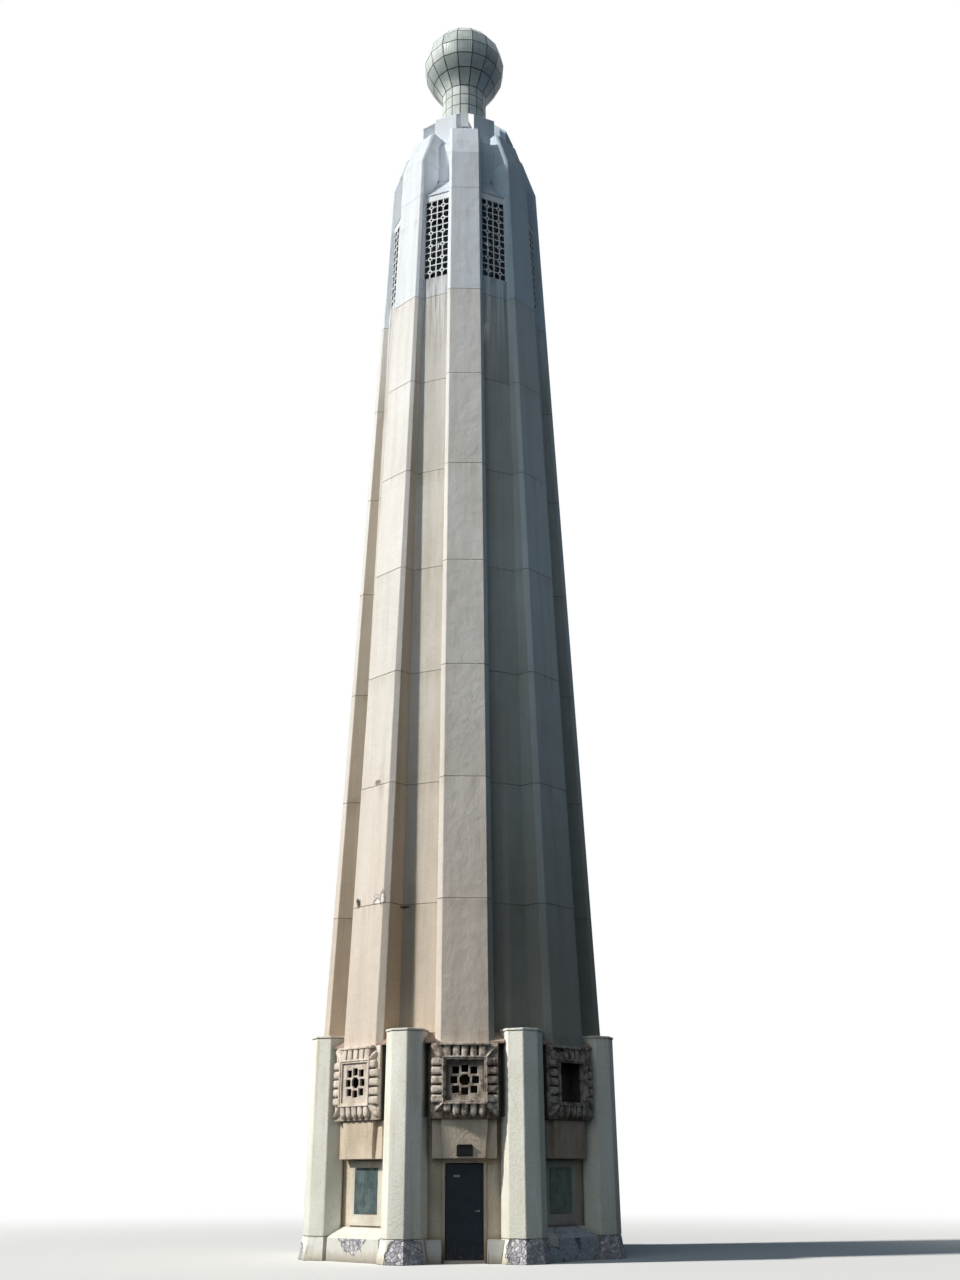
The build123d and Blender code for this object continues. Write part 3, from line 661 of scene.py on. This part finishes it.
BULB_SIDES = 16
ROW_HEIGHTS = (35.54, 35.99, 36.39, 36.90, 37.32, 37.80, 38.33, 38.79, 39.09)
BULB_MIDDLE = Vector((0, 0, 37.78))
NECK_FLARE = (36.4, 36.9)
NECK_TOP = BULB_MIDDLE.z - 1.0
GLASS_CURVE = 0.65
PANE_LEAN = 0.10


def between(shade, factor, first, second):
    """Vector part of the way from the first to the second."""
    return shade.node("Mix", {"data_type": "VECTOR"}, {0: factor, 4: first, 5: second}, 1)


bulb_glass, shade, spot = new_material("bulb_glass")
height = axis_of(spot, "Z")
bearing = bearing_of(spot)
column = bearing.math("ROUND", bearing * (BULB_SIDES / math.tau))
row = sum(above(height, level) for level in ROW_HEIGHTS)
cell = shade.node("CombineXYZ", None, {0: column, 1: row})
pane_tone = shade.node("TexWhiteNoise", {"noise_dimensions": "2D"}, {"Vector": cell}, "Value")
pane_lean = shade.node("TexWhiteNoise", {"noise_dimensions": "2D"}, {"Vector": cell}, "Color")
colour = mix(pane_tone, rgb(192, 205, 199), rgb(228, 233, 229))
# Painted shade, bluish, on the side away from the sun.
colour = tint(sunless(spot) * 0.9, colour, rgb(208, 230, 250))
cloud = noise(spot, 3.5, 5.0, 0.6)
colour = mix(step(cloud, 0.42, 0.7) * 0.5, colour, rgb(244, 246, 240))
ribs = bearing.math("SINE", bearing * 150.0)
colour = tint(step(ribs, -0.2, 1.0) * 0.25, colour, rgb(160, 172, 166))
# Painted shade in the corners against the frame.
colour = tint(hollows(shade, 0.05) * 0.8, colour, rgb(96, 104, 92))
rain = step(drawn(spot, 9.0, 0.5), 0.5, 0.75)
colour = tint(rain * 0.4, colour, rgb(176, 180, 164))
leaning = spot.vector("SUBTRACT", pane_lean, (0.5, 0.5, 0.5))
leaning = spot.vector("MULTIPLY", leaning, (PANE_LEAN,) * 3)
curved = spot.vector("NORMALIZE", spot.vector("SUBTRACT", spot, BULB_MIDDLE))
curved = between(shade, step(height, *NECK_FLARE), outward(spot), curved)
curved = between(shade, GLASS_CURVE, faced(spot), curved)
leaning = spot.vector("NORMALIZE", spot.vector("ADD", leaning, curved))
relief = bumped(ribs + cloud, 0.003, leaning)
finish_with(shade, colour, 0.3 + cloud * 0.2, relief, Specular_IOR_Level=0.3)

frame_paint, shade, spot = new_material("frame_paint")
flake = step(noise(spot, 14.0, 5.0, 0.65), 0.5, 0.66)
colour = mix(flake * 0.5, rgb(26, 36, 33), rgb(66, 68, 60))
finish_with(shade, colour, 0.55, bumped(noise(spot, 30.0, 3.0), 0.001))

collar_paint, shade, spot = new_material("collar_paint")
colour = mix(drawn(spot, 5.0, 0.8, 5.0), rgb(236, 238, 238), rgb(200, 204, 204))
# Painted shade in corners.
colour = tint(hollows(shade, 0.1) * 0.5, colour, rgb(130, 130, 120))
finish_with(shade, colour, 0.5, bumped(noise(spot, 20.0, 3.0), 0.002))

made = piece("bulb_cames", copy_of("bulb_frame", 0.006, 1), frame_paint)
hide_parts("bulb_frame")
made = piece("bulb_foot_ring", copy_of("bulb_collar", 0.012), collar_paint)
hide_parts("bulb_collar")


def loose_parts(shape):
    """Corners of each separate solid in a shape."""
    left = set(shape.verts)
    while left:
        part, edge = set(), [left.pop()]
        while edge:
            v = edge.pop()
            part.add(v)
            for other in [e.other_vert(v) for e in v.link_edges]:
                if other in left:
                    left.discard(other)
                    edge.append(other)
        yield list(part)


# Each pane is brought forward in the frame, and reaches a little further under its bars.
GLASS_LAP = 0.003
for node, forward in (("bulb_panes", 0.0175), ("bulb_cap_panes", 0.0155)):
    shape = merged(node)
    for part in loose_parts(shape):
        middle = sum((v.co for v in part), Vector()) / len(part)
        widest = max({f for v in part for f in v.link_faces}, key=lambda f: f.calc_area())
        out = widest.normal.copy()
        centre = Vector((0, 0, middle.z)) if middle.z < NECK_TOP else BULB_MIDDLE
        if out.dot(middle - centre) < 0:
            out.negate()
        for v in part:
            v.co += (v.co - middle).normalized() * GLASS_LAP * math.sqrt(2) + out * forward
    made = piece(node + "_glazing", shape, bulb_glass)
    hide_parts(node)


# Base walls: tan stucco laid on the concrete wall behind the piers, in each bay and around the
# doorway. The floor slab and the threshold are bare concrete, cast like the shaft.


def seams(spot, scale):
    """Distance from the nearest line of a random net."""
    inputs = {"Vector": spot, "Scale": scale}
    return spot.node("TexVoronoi", {"feature": "DISTANCE_TO_EDGE"}, inputs)


def in_bay(spot):
    """Reach from the tower's axis and distance aside, in the frame of the nearest bay."""
    east = spot.math("ABSOLUTE", axis_of(spot, "X"))
    north = spot.math("ABSOLUTE", axis_of(spot, "Y"))
    reach = at_least(at_least(east, north), (east + north) * math.cos(math.pi / 4))
    radius = from_axis(spot)
    return reach, spot.math("SQRT", at_least(radius * radius - reach * reach, 0.0))


def stucco(name, clean, stained, coarse, ground_dirt=0.6, panel_shadow=None):
    """Trowelled stucco with stains, hair cracks and mud splashed up from the ground, and painted
    shade in corners. The last argument is how far from a bay's middle the painted shadow beside the
    carved panels fades out; without it the side away from the sun gets painted shade."""
    made, shade, spot = new_material(name)
    height = axis_of(spot, "Z")
    patch = drawn(spot, 1.6, 0.9, 5.0, 0.6)
    colour = mix(step(patch, 0.35, 0.68), clean, stained)
    runs = step(drawn(spot, 7.0, 0.28, 4.0, 0.6), 0.52, 0.76)
    colour = tint(runs * 0.45, colour, rgb(214, 204, 186))
    trowel = noise(spot, 18.0, 4.0, 0.6)
    colour = tint(step(trowel, 0.46, 0.75) * 0.3, colour, rgb(214, 208, 194))
    splash = 1 - step(height + (patch - 0.5) * 0.7, 0.05, 0.75)
    colour = tint(splash * ground_dirt, colour, rgb(196, 184, 164))
    hair = 1 - step(seams(spot, 0.75) + (trowel - 0.5) * 0.03, 0.0, 0.006)
    hair = hair * step(noise(spot, 0.9, 1.0), 0.6, 0.66)
    colour = tint(hair * 0.3, colour, rgb(160, 150, 136))
    # Painted shade, with dirt, in corners.
    colour = tint(hollows(shade, 0.16) * 0.7, colour, rgb(128, 112, 94))
    # Painted shadow of the carved panels on the piers beside them, else painted shade on the side
    # away from the sun.
    if panel_shadow:
        aside = in_bay(spot)[1]
        beside = 1 - step(aside + (patch - 0.5) * 0.06, *panel_shadow)
        beside = beside * above(height, PANEL_FOOT + patch * 0.1)
        colour = tint(beside * (1 - above(height, PANEL_TOP)) * 0.9, colour, rgb(84, 80, 78))
    else:
        colour = tint(sunless(spot, 0.4) * 0.7, colour, rgb(202, 204, 208))
    grain = noise(spot, 75.0, 2.0, 0.6)
    relief = bumped(grain, 0.003 * coarse)
    relief = bumped(trowel, 0.012 * coarse, relief)
    relief = bumped(0 - hair, 0.002, relief)
    finish_with(shade, colour, 0.88, relief)
    return made


wall_stucco = stucco("wall_stucco", rgb(226, 212, 190), rgb(208, 192, 168), 1.6)
for node, edge in (
    ("bay_walls", 0.008),
    ("pier_walls", 0.008),
    ("doorway_jambs", 0.006),
    ("doorway_head", 0.006),
):
    made = piece(node + "_worn", copy_of(node, edge), wall_stucco)
    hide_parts(node)
for node in ("floor_slab", "door_threshold"):
    lay(rib_concrete, nodes[node])


# Piers: painted stucco over rubble stone, eight-sided, under a thin cap, on a flared foot.
# At the feet the stucco has broken away and shows the rubble, most of all at the piers in front.

panel_low, panel_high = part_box("carved_panels")
PANEL_FOOT = panel_low.z
PANEL_TOP = panel_high.z
pier_stucco = stucco("pier_stucco", rgb(244, 243, 232), rgb(234, 232, 216), 1.0, 0.35, (0.88, 0.97))
for node, edge in (("piers", 0.022), ("pier_caps", 0.012)):
    made = piece(node + "_worn", copy_of(node, edge, 3), pier_stucco)
    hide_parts(node)

RUBBLE = 0.085
PLINTH_EDGE = 0.475
# Places where the stucco has gone: bearing in eighths of a turn, side, reach, height and size.
FOOT_PATCHES = [
    (-0.5, 0.25, 3.95, 0.20, 0.45),
    (0.5, 0.08, 3.95, 0.24, 0.68),
    (1.5, 0.0, 3.9, 0.25, 0.80),
    (-1.5, -0.30, 3.9, 0.10, 0.34),
    (2.5, 0.1, 3.95, 0.2, 0.45),
    (-3.5, 0.0, 3.95, 0.15, 0.5),
]


def broken_stucco(name, patches, whole, soiled, rendered=0.0):
    """Stucco over rubble stone, which shows in the patches, with painted shade in corners. Rendered
    is how much mortar still smears the stone on the side away from the sun, where the mortar is
    painted blue-grey as shade."""
    made, shade, spot = new_material(name)
    height = axis_of(spot, "Z")
    stir = noise(spot, 5.0, 4.0, 0.65)
    shaded_side = sunless(spot, 0.4)
    bare = None
    for turn, side, reach, level, size in patches:
        middle = on_tower(turn, side, reach, level * 1.25)
        patch = away(stretched(spot, 1.0, 1.0, 1.25), middle)
        patch = 1 - step(patch + (stir - 0.5) * 0.35, size - 0.02, size + 0.02)
        bare = at_least(bare, patch) if bare else patch
    if rendered:
        bare = bare * (1 - above(height, PLINTH_EDGE) * (1 - shaded_side))
    plaster = mix(stir, whole, soiled)
    runs = step(drawn(spot, 8.0, 1.2, 4.0, 0.65), 0.5, 0.75)
    plaster = tint(runs * 0.5, plaster, rgb(206, 198, 184))
    splash = 1 - step(height + (stir - 0.5) * 0.3, 0.02, 0.3)
    plaster = tint(splash * 0.6, plaster, rgb(180, 168, 146))
    bent = between(shade, 0.06, spot, noise(spot, 6.0, 3.0))
    stone_tone = axis_of(stones(bent, RUBBLE, 1), "X")
    gap = 1 - step(seams(bent, 1 / RUBBLE), 0.01, 0.12)
    rock = mix(stone_tone, rgb(156, 154, 166), rgb(240, 236, 238))
    rock = tint(gap * 0.5, rock, rgb(120, 112, 112))
    fleck = step(noise(spot, 42.0, 4.0, 0.75), 0.5, 0.62)
    rock = mix(fleck * 0.5, rock, rgb(206, 200, 198))
    smear = step(noise(spot, 8.0, 4.0, 0.7) + shaded_side * rendered, 0.56, 0.66)
    # Mortar on the side away from the sun painted blue-grey, as shade.
    mortar = mix(shaded_side * rendered * 5, rgb(226, 218, 200), rgb(202, 212, 220))
    rock = mix(smear * 0.7, rock, mortar)
    colour = mix(bare, plaster, rock)
    rim = bare * (1 - bare) * 4
    colour = tint(rim * 0.8, colour, rgb(90, 82, 78))
    # Painted shade in corners.
    colour = tint(hollows(shade, 0.1) * 0.6, colour, rgb(110, 100, 90))
    relief = bumped(bare * (0 - gap) * 0.6 - bare, 0.03)
    relief = bumped(noise(spot, 60.0, 3.0, 0.7), 0.004, relief)
    finish_with(shade, colour, 0.9, relief)
    return made


foot_rubble = broken_stucco("foot_rubble", FOOT_PATCHES, rgb(246, 245, 236), rgb(230, 226, 212))


def weathered(shape, cuts, depth, size):
    """Cut the edges over a size in half so many times and eat into the faces, never outward."""
    for _ in range(cuts):
        long_edges = [e for e in shape.edges if e.calc_length() > size]
        if long_edges:
            bmesh.ops.subdivide_edges(shape, edges=long_edges, cuts=1, use_grid_fill=True)
    bmesh.ops.triangulate(shape, faces=[f for f in shape.faces if len(f.verts) > 4])
    shape.normal_update()
    for v in shape.verts:
        eaten = max(0.0, turbulence.fractal(v.co * 4.0, 0.8, 2.1, 4) * 0.6 + 0.4)
        v.co -= v.normal * eaten * depth


feet = copy_of("pier_feet", 0.03)
weathered(feet, 4, 0.022, 0.11)
made = piece("pier_feet_broken", feet, foot_rubble, smooth=True)
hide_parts("pier_feet")


# Carved panels: cast blocks bedded high in each bay, with a plain stepped frame around a square
# opening, five rounded gadroons on each side and a pointed leaf at each corner, darkly stained
# and with painted shade in the hollows and the opening.
# A pierced grate, cast apart, closes the opening.

grate_low, grate_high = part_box("carved_grates")
GRATE_MIDDLE = (grate_low.z + grate_high.z) / 2
OPENING_HALF = (grate_high.z - grate_low.z) / 2
FRAME_FACE = panel_high.x
FRAME_BAND = 0.04
FRAME_STEP = 0.02
FRAME_THICK = 0.15
FRAME_HALF = OPENING_HALF + 2 * FRAME_BAND
PANEL_FACE = FRAME_FACE - 0.13
WALL_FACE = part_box("bay_walls")[1].x
PANEL_HALF = 0.765
PANEL_UP = PANEL_TOP - GRATE_MIDDLE
PANEL_DOWN = GRATE_MIDDLE - PANEL_FOOT
PANEL_WEAR = 0.006
BAND_SIZE = (2 * PANEL_HALF - 0.36, 0.06, 0.12)
GADROONS = 5
GADROON_PITCH = 0.199
GADROON_HALF = 0.094
GADROON_RISE = (0.108, 0.088)
LEAF_HALF = 0.118
LEAF_RISE = (0.115, 0.06)
LEAF_LAP = 0.03
GADROON_STUMP = 0.62
LEAF_STUMP = 0.6

carved_cast, shade, spot = new_material("carved_cast")
height = axis_of(spot, "Z")
patch = noise(spot, 2.4, 5.0, 0.65)
colour = mix(step(patch, 0.3, 0.7), rgb(242, 231, 216), rgb(214, 198, 180))
reach, aside = in_bay(spot)
level = shade.math("ABSOLUTE", height - GRATE_MIDDLE)
cavity = 1 - step(at_least(aside, level), OPENING_HALF - 0.01, OPENING_HALF + 0.004)
cavity = cavity * (1 - step(reach, FRAME_FACE - 0.03, FRAME_FACE - 0.022))
# The panel on the sun side is painted lighter: its painted shade is weaker and its stains fainter.
sunward_panel = step((axis_of(spot, "X") + axis_of(spot, "Y")) * -math.cos(math.pi / 4), 2.95, 3.2)
runs = step(drawn(spot, 9.0, 1.0, 4.0, 0.65), 0.46, 0.66)
colour = tint(runs * (0.7 - sunward_panel * 0.4), colour, rgb(160, 142, 128))
soot = step(noise(spot, 5.5, 5.0, 0.7), 0.46, 0.60)
colour = tint(soot * (0.85 - sunward_panel * 0.65), colour, rgb(128, 118, 110))
rust = step(drawn(spot, 2.5, 6.0, 4.0, 0.7), 0.60, 0.68)
colour = tint(rust * 0.6, colour, rgb(168, 118, 108))
low_stain = 1 - step(height + (patch - 0.5) * 0.3, PANEL_FOOT - 0.02, PANEL_FOOT + 0.2)
colour = tint(low_stain * (0.75 - sunward_panel * 0.3), colour, rgb(132, 112, 78))
# Painted shade, with dirt, in the hollows; less on the grate.
grime_and_shade = shade.math("POWER", hollows(shade, 0.12), 1.1) * (1 - cavity * 0.7)
colour = tint(grime_and_shade * (0.95 - sunward_panel * 0.4), colour, rgb(70, 58, 50))
# Painted shade: near black on all that lies well behind the panel's face.
deep = 1 - step(reach, PANEL_FACE - 0.10, PANEL_FACE - 0.01)
colour = mix(deep * 0.95, colour, rgb(30, 27, 25))
# Painted shadow of the frame on the top and left of the grate.
top_shade = step(height + (patch - 0.5) * 0.14, GRATE_MIDDLE + 0.12, GRATE_MIDDLE + 0.40)
left_shade = 1 - step(axis_of(spot, "X") + (patch - 0.5) * 0.14, -0.40, -0.22)
cavity = cavity * at_least(top_shade, left_shade)
colour = tint(cavity * (0.95 - sunward_panel * 0.8), colour, rgb(104, 100, 104))
# Painted shade, cool, on the side away from the sun.
colour = tint(sunless(spot, 0.4) * 0.8, colour, rgb(190, 196, 204))
pits = 1 - step(stones(spot, 0.05), 0.08, 0.16)
colour = tint(pits * 0.4 * soot, colour, rgb(90, 76, 66))
relief = bumped(noise(spot, 38.0, 4.0, 0.7), 0.006)
relief = bumped(patch, 0.02, relief)
relief = bumped(0 - pits, 0.006, relief)
finish_with(shade, colour, 0.9, relief)


def move_in(shape, part, face_height):
    """Copy a part into the shape, lifted to a face."""
    shifted(part, z=face_height)
    mesh = mesh_of("part", part)
    shape.from_mesh(mesh)
    bpy.data.meshes.remove(mesh)


def block(size, edge, rounds=2):
    """Box around the origin with rounded edges."""
    part = bmesh.new()
    bmesh.ops.create_cube(part, size=1.0)
    bmesh.ops.scale(part, verts=part.verts, vec=size)
    rounded(part, part.edges[:], edge, rounds)
    return part


def square_ring(outer, hole, thick, edge, down=None, up=None):
    """Plate with a square hole, face up at zero. It can reach further down and up than sideways."""
    part = bmesh.new()
    bmesh.ops.create_grid(part, x_segments=3, y_segments=3, size=1.0)
    lines = {-3: -outer, -1: -hole, 1: hole, 3: outer}
    rows = {-3: -(down or outer), -1: -hole, 1: hole, 3: up or outer}
    for v in part.verts:
        v.co.x, v.co.y = lines[round(v.co.x * 3)], rows[round(v.co.y * 3)]
    middle = [f for f in part.faces if f.calc_center_median().length < hole / 2]
    bmesh.ops.delete(part, geom=middle, context="FACES")
    back = new_verts(bmesh.ops.extrude_face_region(part, geom=part.faces[:]))
    bmesh.ops.translate(part, verts=back, vec=(0, 0, -thick))
    bmesh.ops.recalc_face_normals(part, faces=part.faces)
    rounded(part, [e for e in part.edges if e.calc_face_angle() > 1.0], edge)
    return part


def gadroon(length, half, rise, point, nose, fold=3.8):
    """Bar along +Y from the frame, sunk into the plate. Point narrows its end and nose rounds the
    end down to the plate. Fold shapes its crown: 1 is a sharp ridge, 2 round, more is flatter."""
    part = bmesh.new()
    bmesh.ops.create_grid(part, x_segments=10, y_segments=9, size=1.0)
    for v in part.verts:
        across = abs(v.co.x)
        along = (v.co.y + 1) / 2
        reach = length * (1 - point * across ** 2)
        crown = (1 - across ** fold) ** (1 / max(1.0, fold * 0.8))
        end = math.sqrt(1 - nose * max(0.0, (along - 0.7) / 0.3) ** 2.4)
        lift = rise[0] + (rise[1] - rise[0]) * along
        v.co = Vector((v.co.x * half, along * reach, 0.004 + lift * crown * end))
    for v in new_verts(bmesh.ops.extrude_face_region(part, geom=part.faces[:])):
        v.co.z = -0.02
    bmesh.ops.recalc_face_normals(part, faces=part.faces)
    return part


def set_out(part, side, start, turn):
    """Shift a part sideways and out from the centre of the panel, then turn it round the panel."""
    shifted(part, side, start)
    turned(part, turn, "Z")


# Quarters run from the top by way of the left, as seen from in front.
ENDS = (PANEL_UP - BAND_SIZE[1], PANEL_HALF, PANEL_DOWN - 0.03, PANEL_HALF)
POINTS = (0.0, 0.09, 0.34, 0.09)
NOSES = (0.0, 0.45, 0.75, 0.45)


def carved_panel(broken):
    """One panel, drawn face up. Broken lists the gadroons and leaves that have lost their tips."""
    shape = bmesh.new()
    thick = PANEL_FACE - WALL_FACE
    body = square_ring(PANEL_HALF, OPENING_HALF, thick, 0.012, PANEL_DOWN, PANEL_UP)
    move_in(shape, body, PANEL_FACE)
    outer = square_ring(FRAME_HALF, FRAME_HALF - FRAME_BAND, FRAME_THICK, 0.007)
    move_in(shape, outer, FRAME_FACE)
    lapped = FRAME_HALF - FRAME_BAND + 0.002
    inner = square_ring(lapped, OPENING_HALF, FRAME_THICK - FRAME_STEP, 0.006)
    move_in(shape, inner, FRAME_FACE - FRAME_STEP)
    # The back of the opening: a plate whose hole is too small to show, painted near black as shade
    # by its material.
    back = square_ring(OPENING_HALF + 0.02, 0.002, 0.02, 0.0005)
    move_in(shape, back, WALL_FACE + 0.022)
    band = block(BAND_SIZE, 0.014)
    shifted(band, y=PANEL_UP - BAND_SIZE[1] / 2)
    move_in(shape, band, PANEL_FACE + 0.055)
    for quarter in range(4):
        for k in range(GADROONS):
            side = (k - (GADROONS - 1) / 2) * GADROON_PITCH
            left = GADROON_STUMP if (quarter, k) in broken else 1.0
            length = (ENDS[quarter] - FRAME_HALF) * left
            part = gadroon(length, GADROON_HALF, GADROON_RISE, POINTS[quarter], NOSES[quarter])
            set_out(part, side, FRAME_HALF, quarter * math.pi / 2)
            move_in(shape, part, PANEL_FACE)
        left = LEAF_STUMP if (quarter, "leaf") in broken else 1.0
        reach = (PANEL_HALF - FRAME_HALF) * math.sqrt(2) * left + LEAF_LAP
        part = gadroon(reach, LEAF_HALF, LEAF_RISE, 0.8, 0.9, 1.1)
        set_out(part, 0, FRAME_HALF * math.sqrt(2) - LEAF_LAP, (quarter + 0.5) * math.pi / 2)
        move_in(shape, part, PANEL_FACE)
    return shape


# What has lost its tip in each bay, from the door side on: quarter, and gadroon or leaf.
BROKEN = {
    0: [(2, 4), (1, "leaf")],
    1: [(0, 0)],
    3: [(2, 1)],
    5: [(1, 2), (2, "leaf")],
    7: [(3, 0), (3, "leaf")],
}
panels = bmesh.new()
for turn in range(SIDES):
    shape = carved_panel(BROKEN.get(turn, []))
    stand_up(shape, 0, GRATE_MIDDLE)
    turned(shape, turn * EIGHTH, "Z")
    move_in(panels, shape, 0)
# Soft with wear: every corner wanders a little, each panel in its own way.
for v in panels.verts:
    fine = turbulence.noise_vector(v.co * 9.0) * PANEL_WEAR * 0.5
    v.co += fine + turbulence.noise_vector(v.co * 2.3) * PANEL_WEAR
made = piece("gadrooned_panels", panels, carved_cast, smooth=True)
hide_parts("carved_panels")
made = piece("pierced_grates", copy_of("carved_grates", 0.006, 1), carved_cast)
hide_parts("carved_grates")


# Copings and corbels: sloped copings shed water beside each rib, and an inverted wedge on a wide
# backing carries each carved panel. Both are the wall's tan stucco; the copings are dark brown
# all over, partly from water running off and partly as painted shade.

trim_stucco = stucco("trim_stucco", rgb(222, 206, 184), rgb(196, 178, 154), 1.2)
# Darker brown all over: water stain with painted shade.
coping_stucco = stucco("coping_stucco", rgb(182, 160, 144), rgb(130, 108, 98), 1.4)
for node, edge, material in (
    ("bay_copings", 0.012, coping_stucco),
    ("bay_corbels", 0.014, trim_stucco),
):
    made = piece(node + "_worn", copy_of(node, edge), material)
    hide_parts(node)


# Tablets: blank plates of bronze with a raised rim, weathered green, in seven bays. Each is bolted
# to the wall inside a raised surround of stucco.

surround_stucco = stucco("surround_stucco", rgb(222, 216, 200), rgb(201, 193, 176), 1.0)
surrounds = copy_of("tablet_surrounds", 0.010)
made = piece("tablet_surrounds_worn", surrounds, surround_stucco)
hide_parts("tablet_surrounds")

tablet_bronze, shade, spot = new_material("tablet_bronze")
patina = noise(spot, 4.0, 6.0, 0.65)
colour = mix(step(patina, 0.35, 0.65), rgb(70, 85, 88), rgb(98, 112, 112))
runs = step(drawn(spot, 16.0, 0.8, 4.0, 0.6), 0.48, 0.7)
colour = tint(runs * 0.5, colour, rgb(176, 190, 178))
bare_metal = step(noise(spot, 11.0, 5.0, 0.7), 0.6, 0.7)
colour = mix(bare_metal * 0.5, colour, rgb(84, 84, 66))
relief = bumped(noise(spot, 34.0), 0.002)
finish_with(shade, colour, 0.55 + patina * 0.2, relief, Metallic=0.35, Specular_IOR_Level=0.3)

# Width and depth of each step in from the edge of a tablet: flat rim, drop, gutter, raised field.
TABLET_STEPS = ((0.030, 0.0), (0.008, -0.008), (0.014, 0.0), (0.004, 0.003))
shape = copy_of("tablets", 0.004, 1)
fronts = [f for f in shape.faces if f.calc_area() > 0.5]
fronts = [f for f in fronts if f.normal.dot(f.calc_center_median()) > 0]
fronts = [f for f in fronts if f.calc_center_median().xy.length > WALL_FACE + 0.02]
for width, depth in TABLET_STEPS:
    bmesh.ops.inset_individual(shape, faces=fronts, thickness=width, depth=depth)
made = piece("bronze_tablets", shape, tablet_bronze)
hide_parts("tablets")


# Plinths: low blocks of rubble under stucco, with a sloped top, built against the wall between the
# piers. The stucco is spalled and damp at the ground, so the rubble shows.

# Places where the stucco has gone, told as for the pier feet.
PLINTH_PATCHES = [
    (1, 0.15, 3.62, 0.42, 0.70),
    (1, -0.75, 3.55, 0.10, 0.30),
    (3, -0.3, 3.6, 0.30, 0.40),
    (-3, 0.4, 3.6, 0.15, 0.35),
    (-1, 0.0, 3.80, 0.52, 0.50),
]
plinth_stucco = broken_stucco(
    "plinth_stucco", PLINTH_PATCHES, rgb(233, 231, 224), rgb(212, 207, 195), 0.20
)
for node in ("bay_plinths", "door_plinths"):
    blocks = copy_of(node, 0.02)
    weathered(blocks, 3, 0.014, 0.22)
    made = piece(node + "_worn", blocks, plinth_stucco, smooth=True)
    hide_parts(node)


# Door: a flush leaf of dark blue painted steel in a brown stucco surround, with a steel bar handle
# and three barrel hinges. A blank plate is fixed to the leaf and a vent plate over the door.

door_paint, shade, spot = new_material("door_paint")
height = axis_of(spot, "Z")
wear = noise(spot, 3.0, 6.0, 0.65)
colour = mix(step(wear, 0.35, 0.7), rgb(15, 25, 35), rgb(24, 36, 47))
scuff = step(noise(stretched(spot, 20.0, 1.0, 4.0), 1.0, 5.0, 0.7), 0.58, 0.72)
colour = mix(scuff * 0.25, colour, rgb(96, 104, 112))
kicked = 1 - step(height + wear * 0.2, 0.1, 0.5)
kicked = kicked * step(noise(spot, 14.0, 5.0, 0.7), 0.5, 0.62)
colour = mix(kicked * 0.6, colour, rgb(112, 96, 82))
relief = bumped(noise(spot, 1.6, 2.0), 0.010)
relief = bumped(noise(spot, 46.0, 3.0), 0.001, relief)
finish_with(shade, colour, 0.42 + wear * 0.2, relief, Specular_IOR_Level=0.25)

vent_paint, shade, spot = new_material("vent_paint")
wear = noise(spot, 9.0, 6.0, 0.65)
colour = mix(step(wear, 0.45, 0.7), rgb(16, 20, 24), rgb(32, 37, 40))
relief = bumped(noise(spot, 46.0, 3.0), 0.0008)
finish_with(shade, colour, 0.55, relief, Specular_IOR_Level=0.25)

steel_worn, shade, spot = new_material("steel_worn")
wear = noise(spot, 24.0, 5.0, 0.65)
colour = mix(step(wear, 0.4, 0.65), rgb(150, 150, 150), rgb(104, 92, 80))
finish_with(shade, colour, 0.4 + wear * 0.2, bumped(wear, 0.0008), Metallic=0.8)

plate_paint, shade, spot = new_material("plate_paint")
colour = mix(noise(spot, 18.0, 5.0, 0.6), rgb(150, 158, 150), rgb(112, 118, 112))
finish_with(shade, colour, 0.5, bumped(noise(spot, 60.0, 3.0), 0.0006))

made = piece("door_surround_worn", copy_of("door_surround", 0.007), trim_stucco)
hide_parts("door_surround")
made = piece("door_leaf_painted", copy_of("door_leaf", 0.003), door_paint, "door")
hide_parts("door_leaf")

vent_low, vent_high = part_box("vent_plate")
VENT_RIM = 0.02
VENT_DEPTH = 0.022
VENT_BLADES = 7
BLADE_TILT = math.radians(-38)
vent = copy_of("vent_plate", 0.003, 1)
front = [max(vent.faces, key=lambda f: -f.calc_center_median().y)]
bmesh.ops.inset_region(vent, faces=front, thickness=VENT_RIM)
bmesh.ops.inset_region(vent, faces=front, thickness=0.001, depth=-VENT_DEPTH)
blade_width = vent_high.x - vent_low.x - 2 * VENT_RIM
blade_pitch = (vent_high.z - vent_low.z - 2 * VENT_RIM) / VENT_BLADES
for k in range(VENT_BLADES):
    blade = block((blade_width, 0.003, blade_pitch * 1.1), 0.0008, 1)
    turned(blade, BLADE_TILT, "X")
    shifted(blade, y=vent_low.y + 0.012)
    move_in(vent, blade, vent_low.z + VENT_RIM + (k + 0.5) * blade_pitch)
made = piece("vent_louvred", vent, vent_paint)
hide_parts("vent_plate")
made = piece("door_handle_worn", copy_of("door_handle", 0.003), steel_worn, "door")
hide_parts("door_handle")
lay(steel_worn, nodes["hinge_barrels"])
lay(steel_worn, nodes["hinge_brackets"])

PLATE_SIZE = (0.15, 0.004, 0.05)
plate = block(PLATE_SIZE, 0.0015)
shifted(plate, -0.17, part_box("door_leaf")[0].y - 0.001, 1.77)
piece("door_plate_blank", plate, plate_paint, "door")
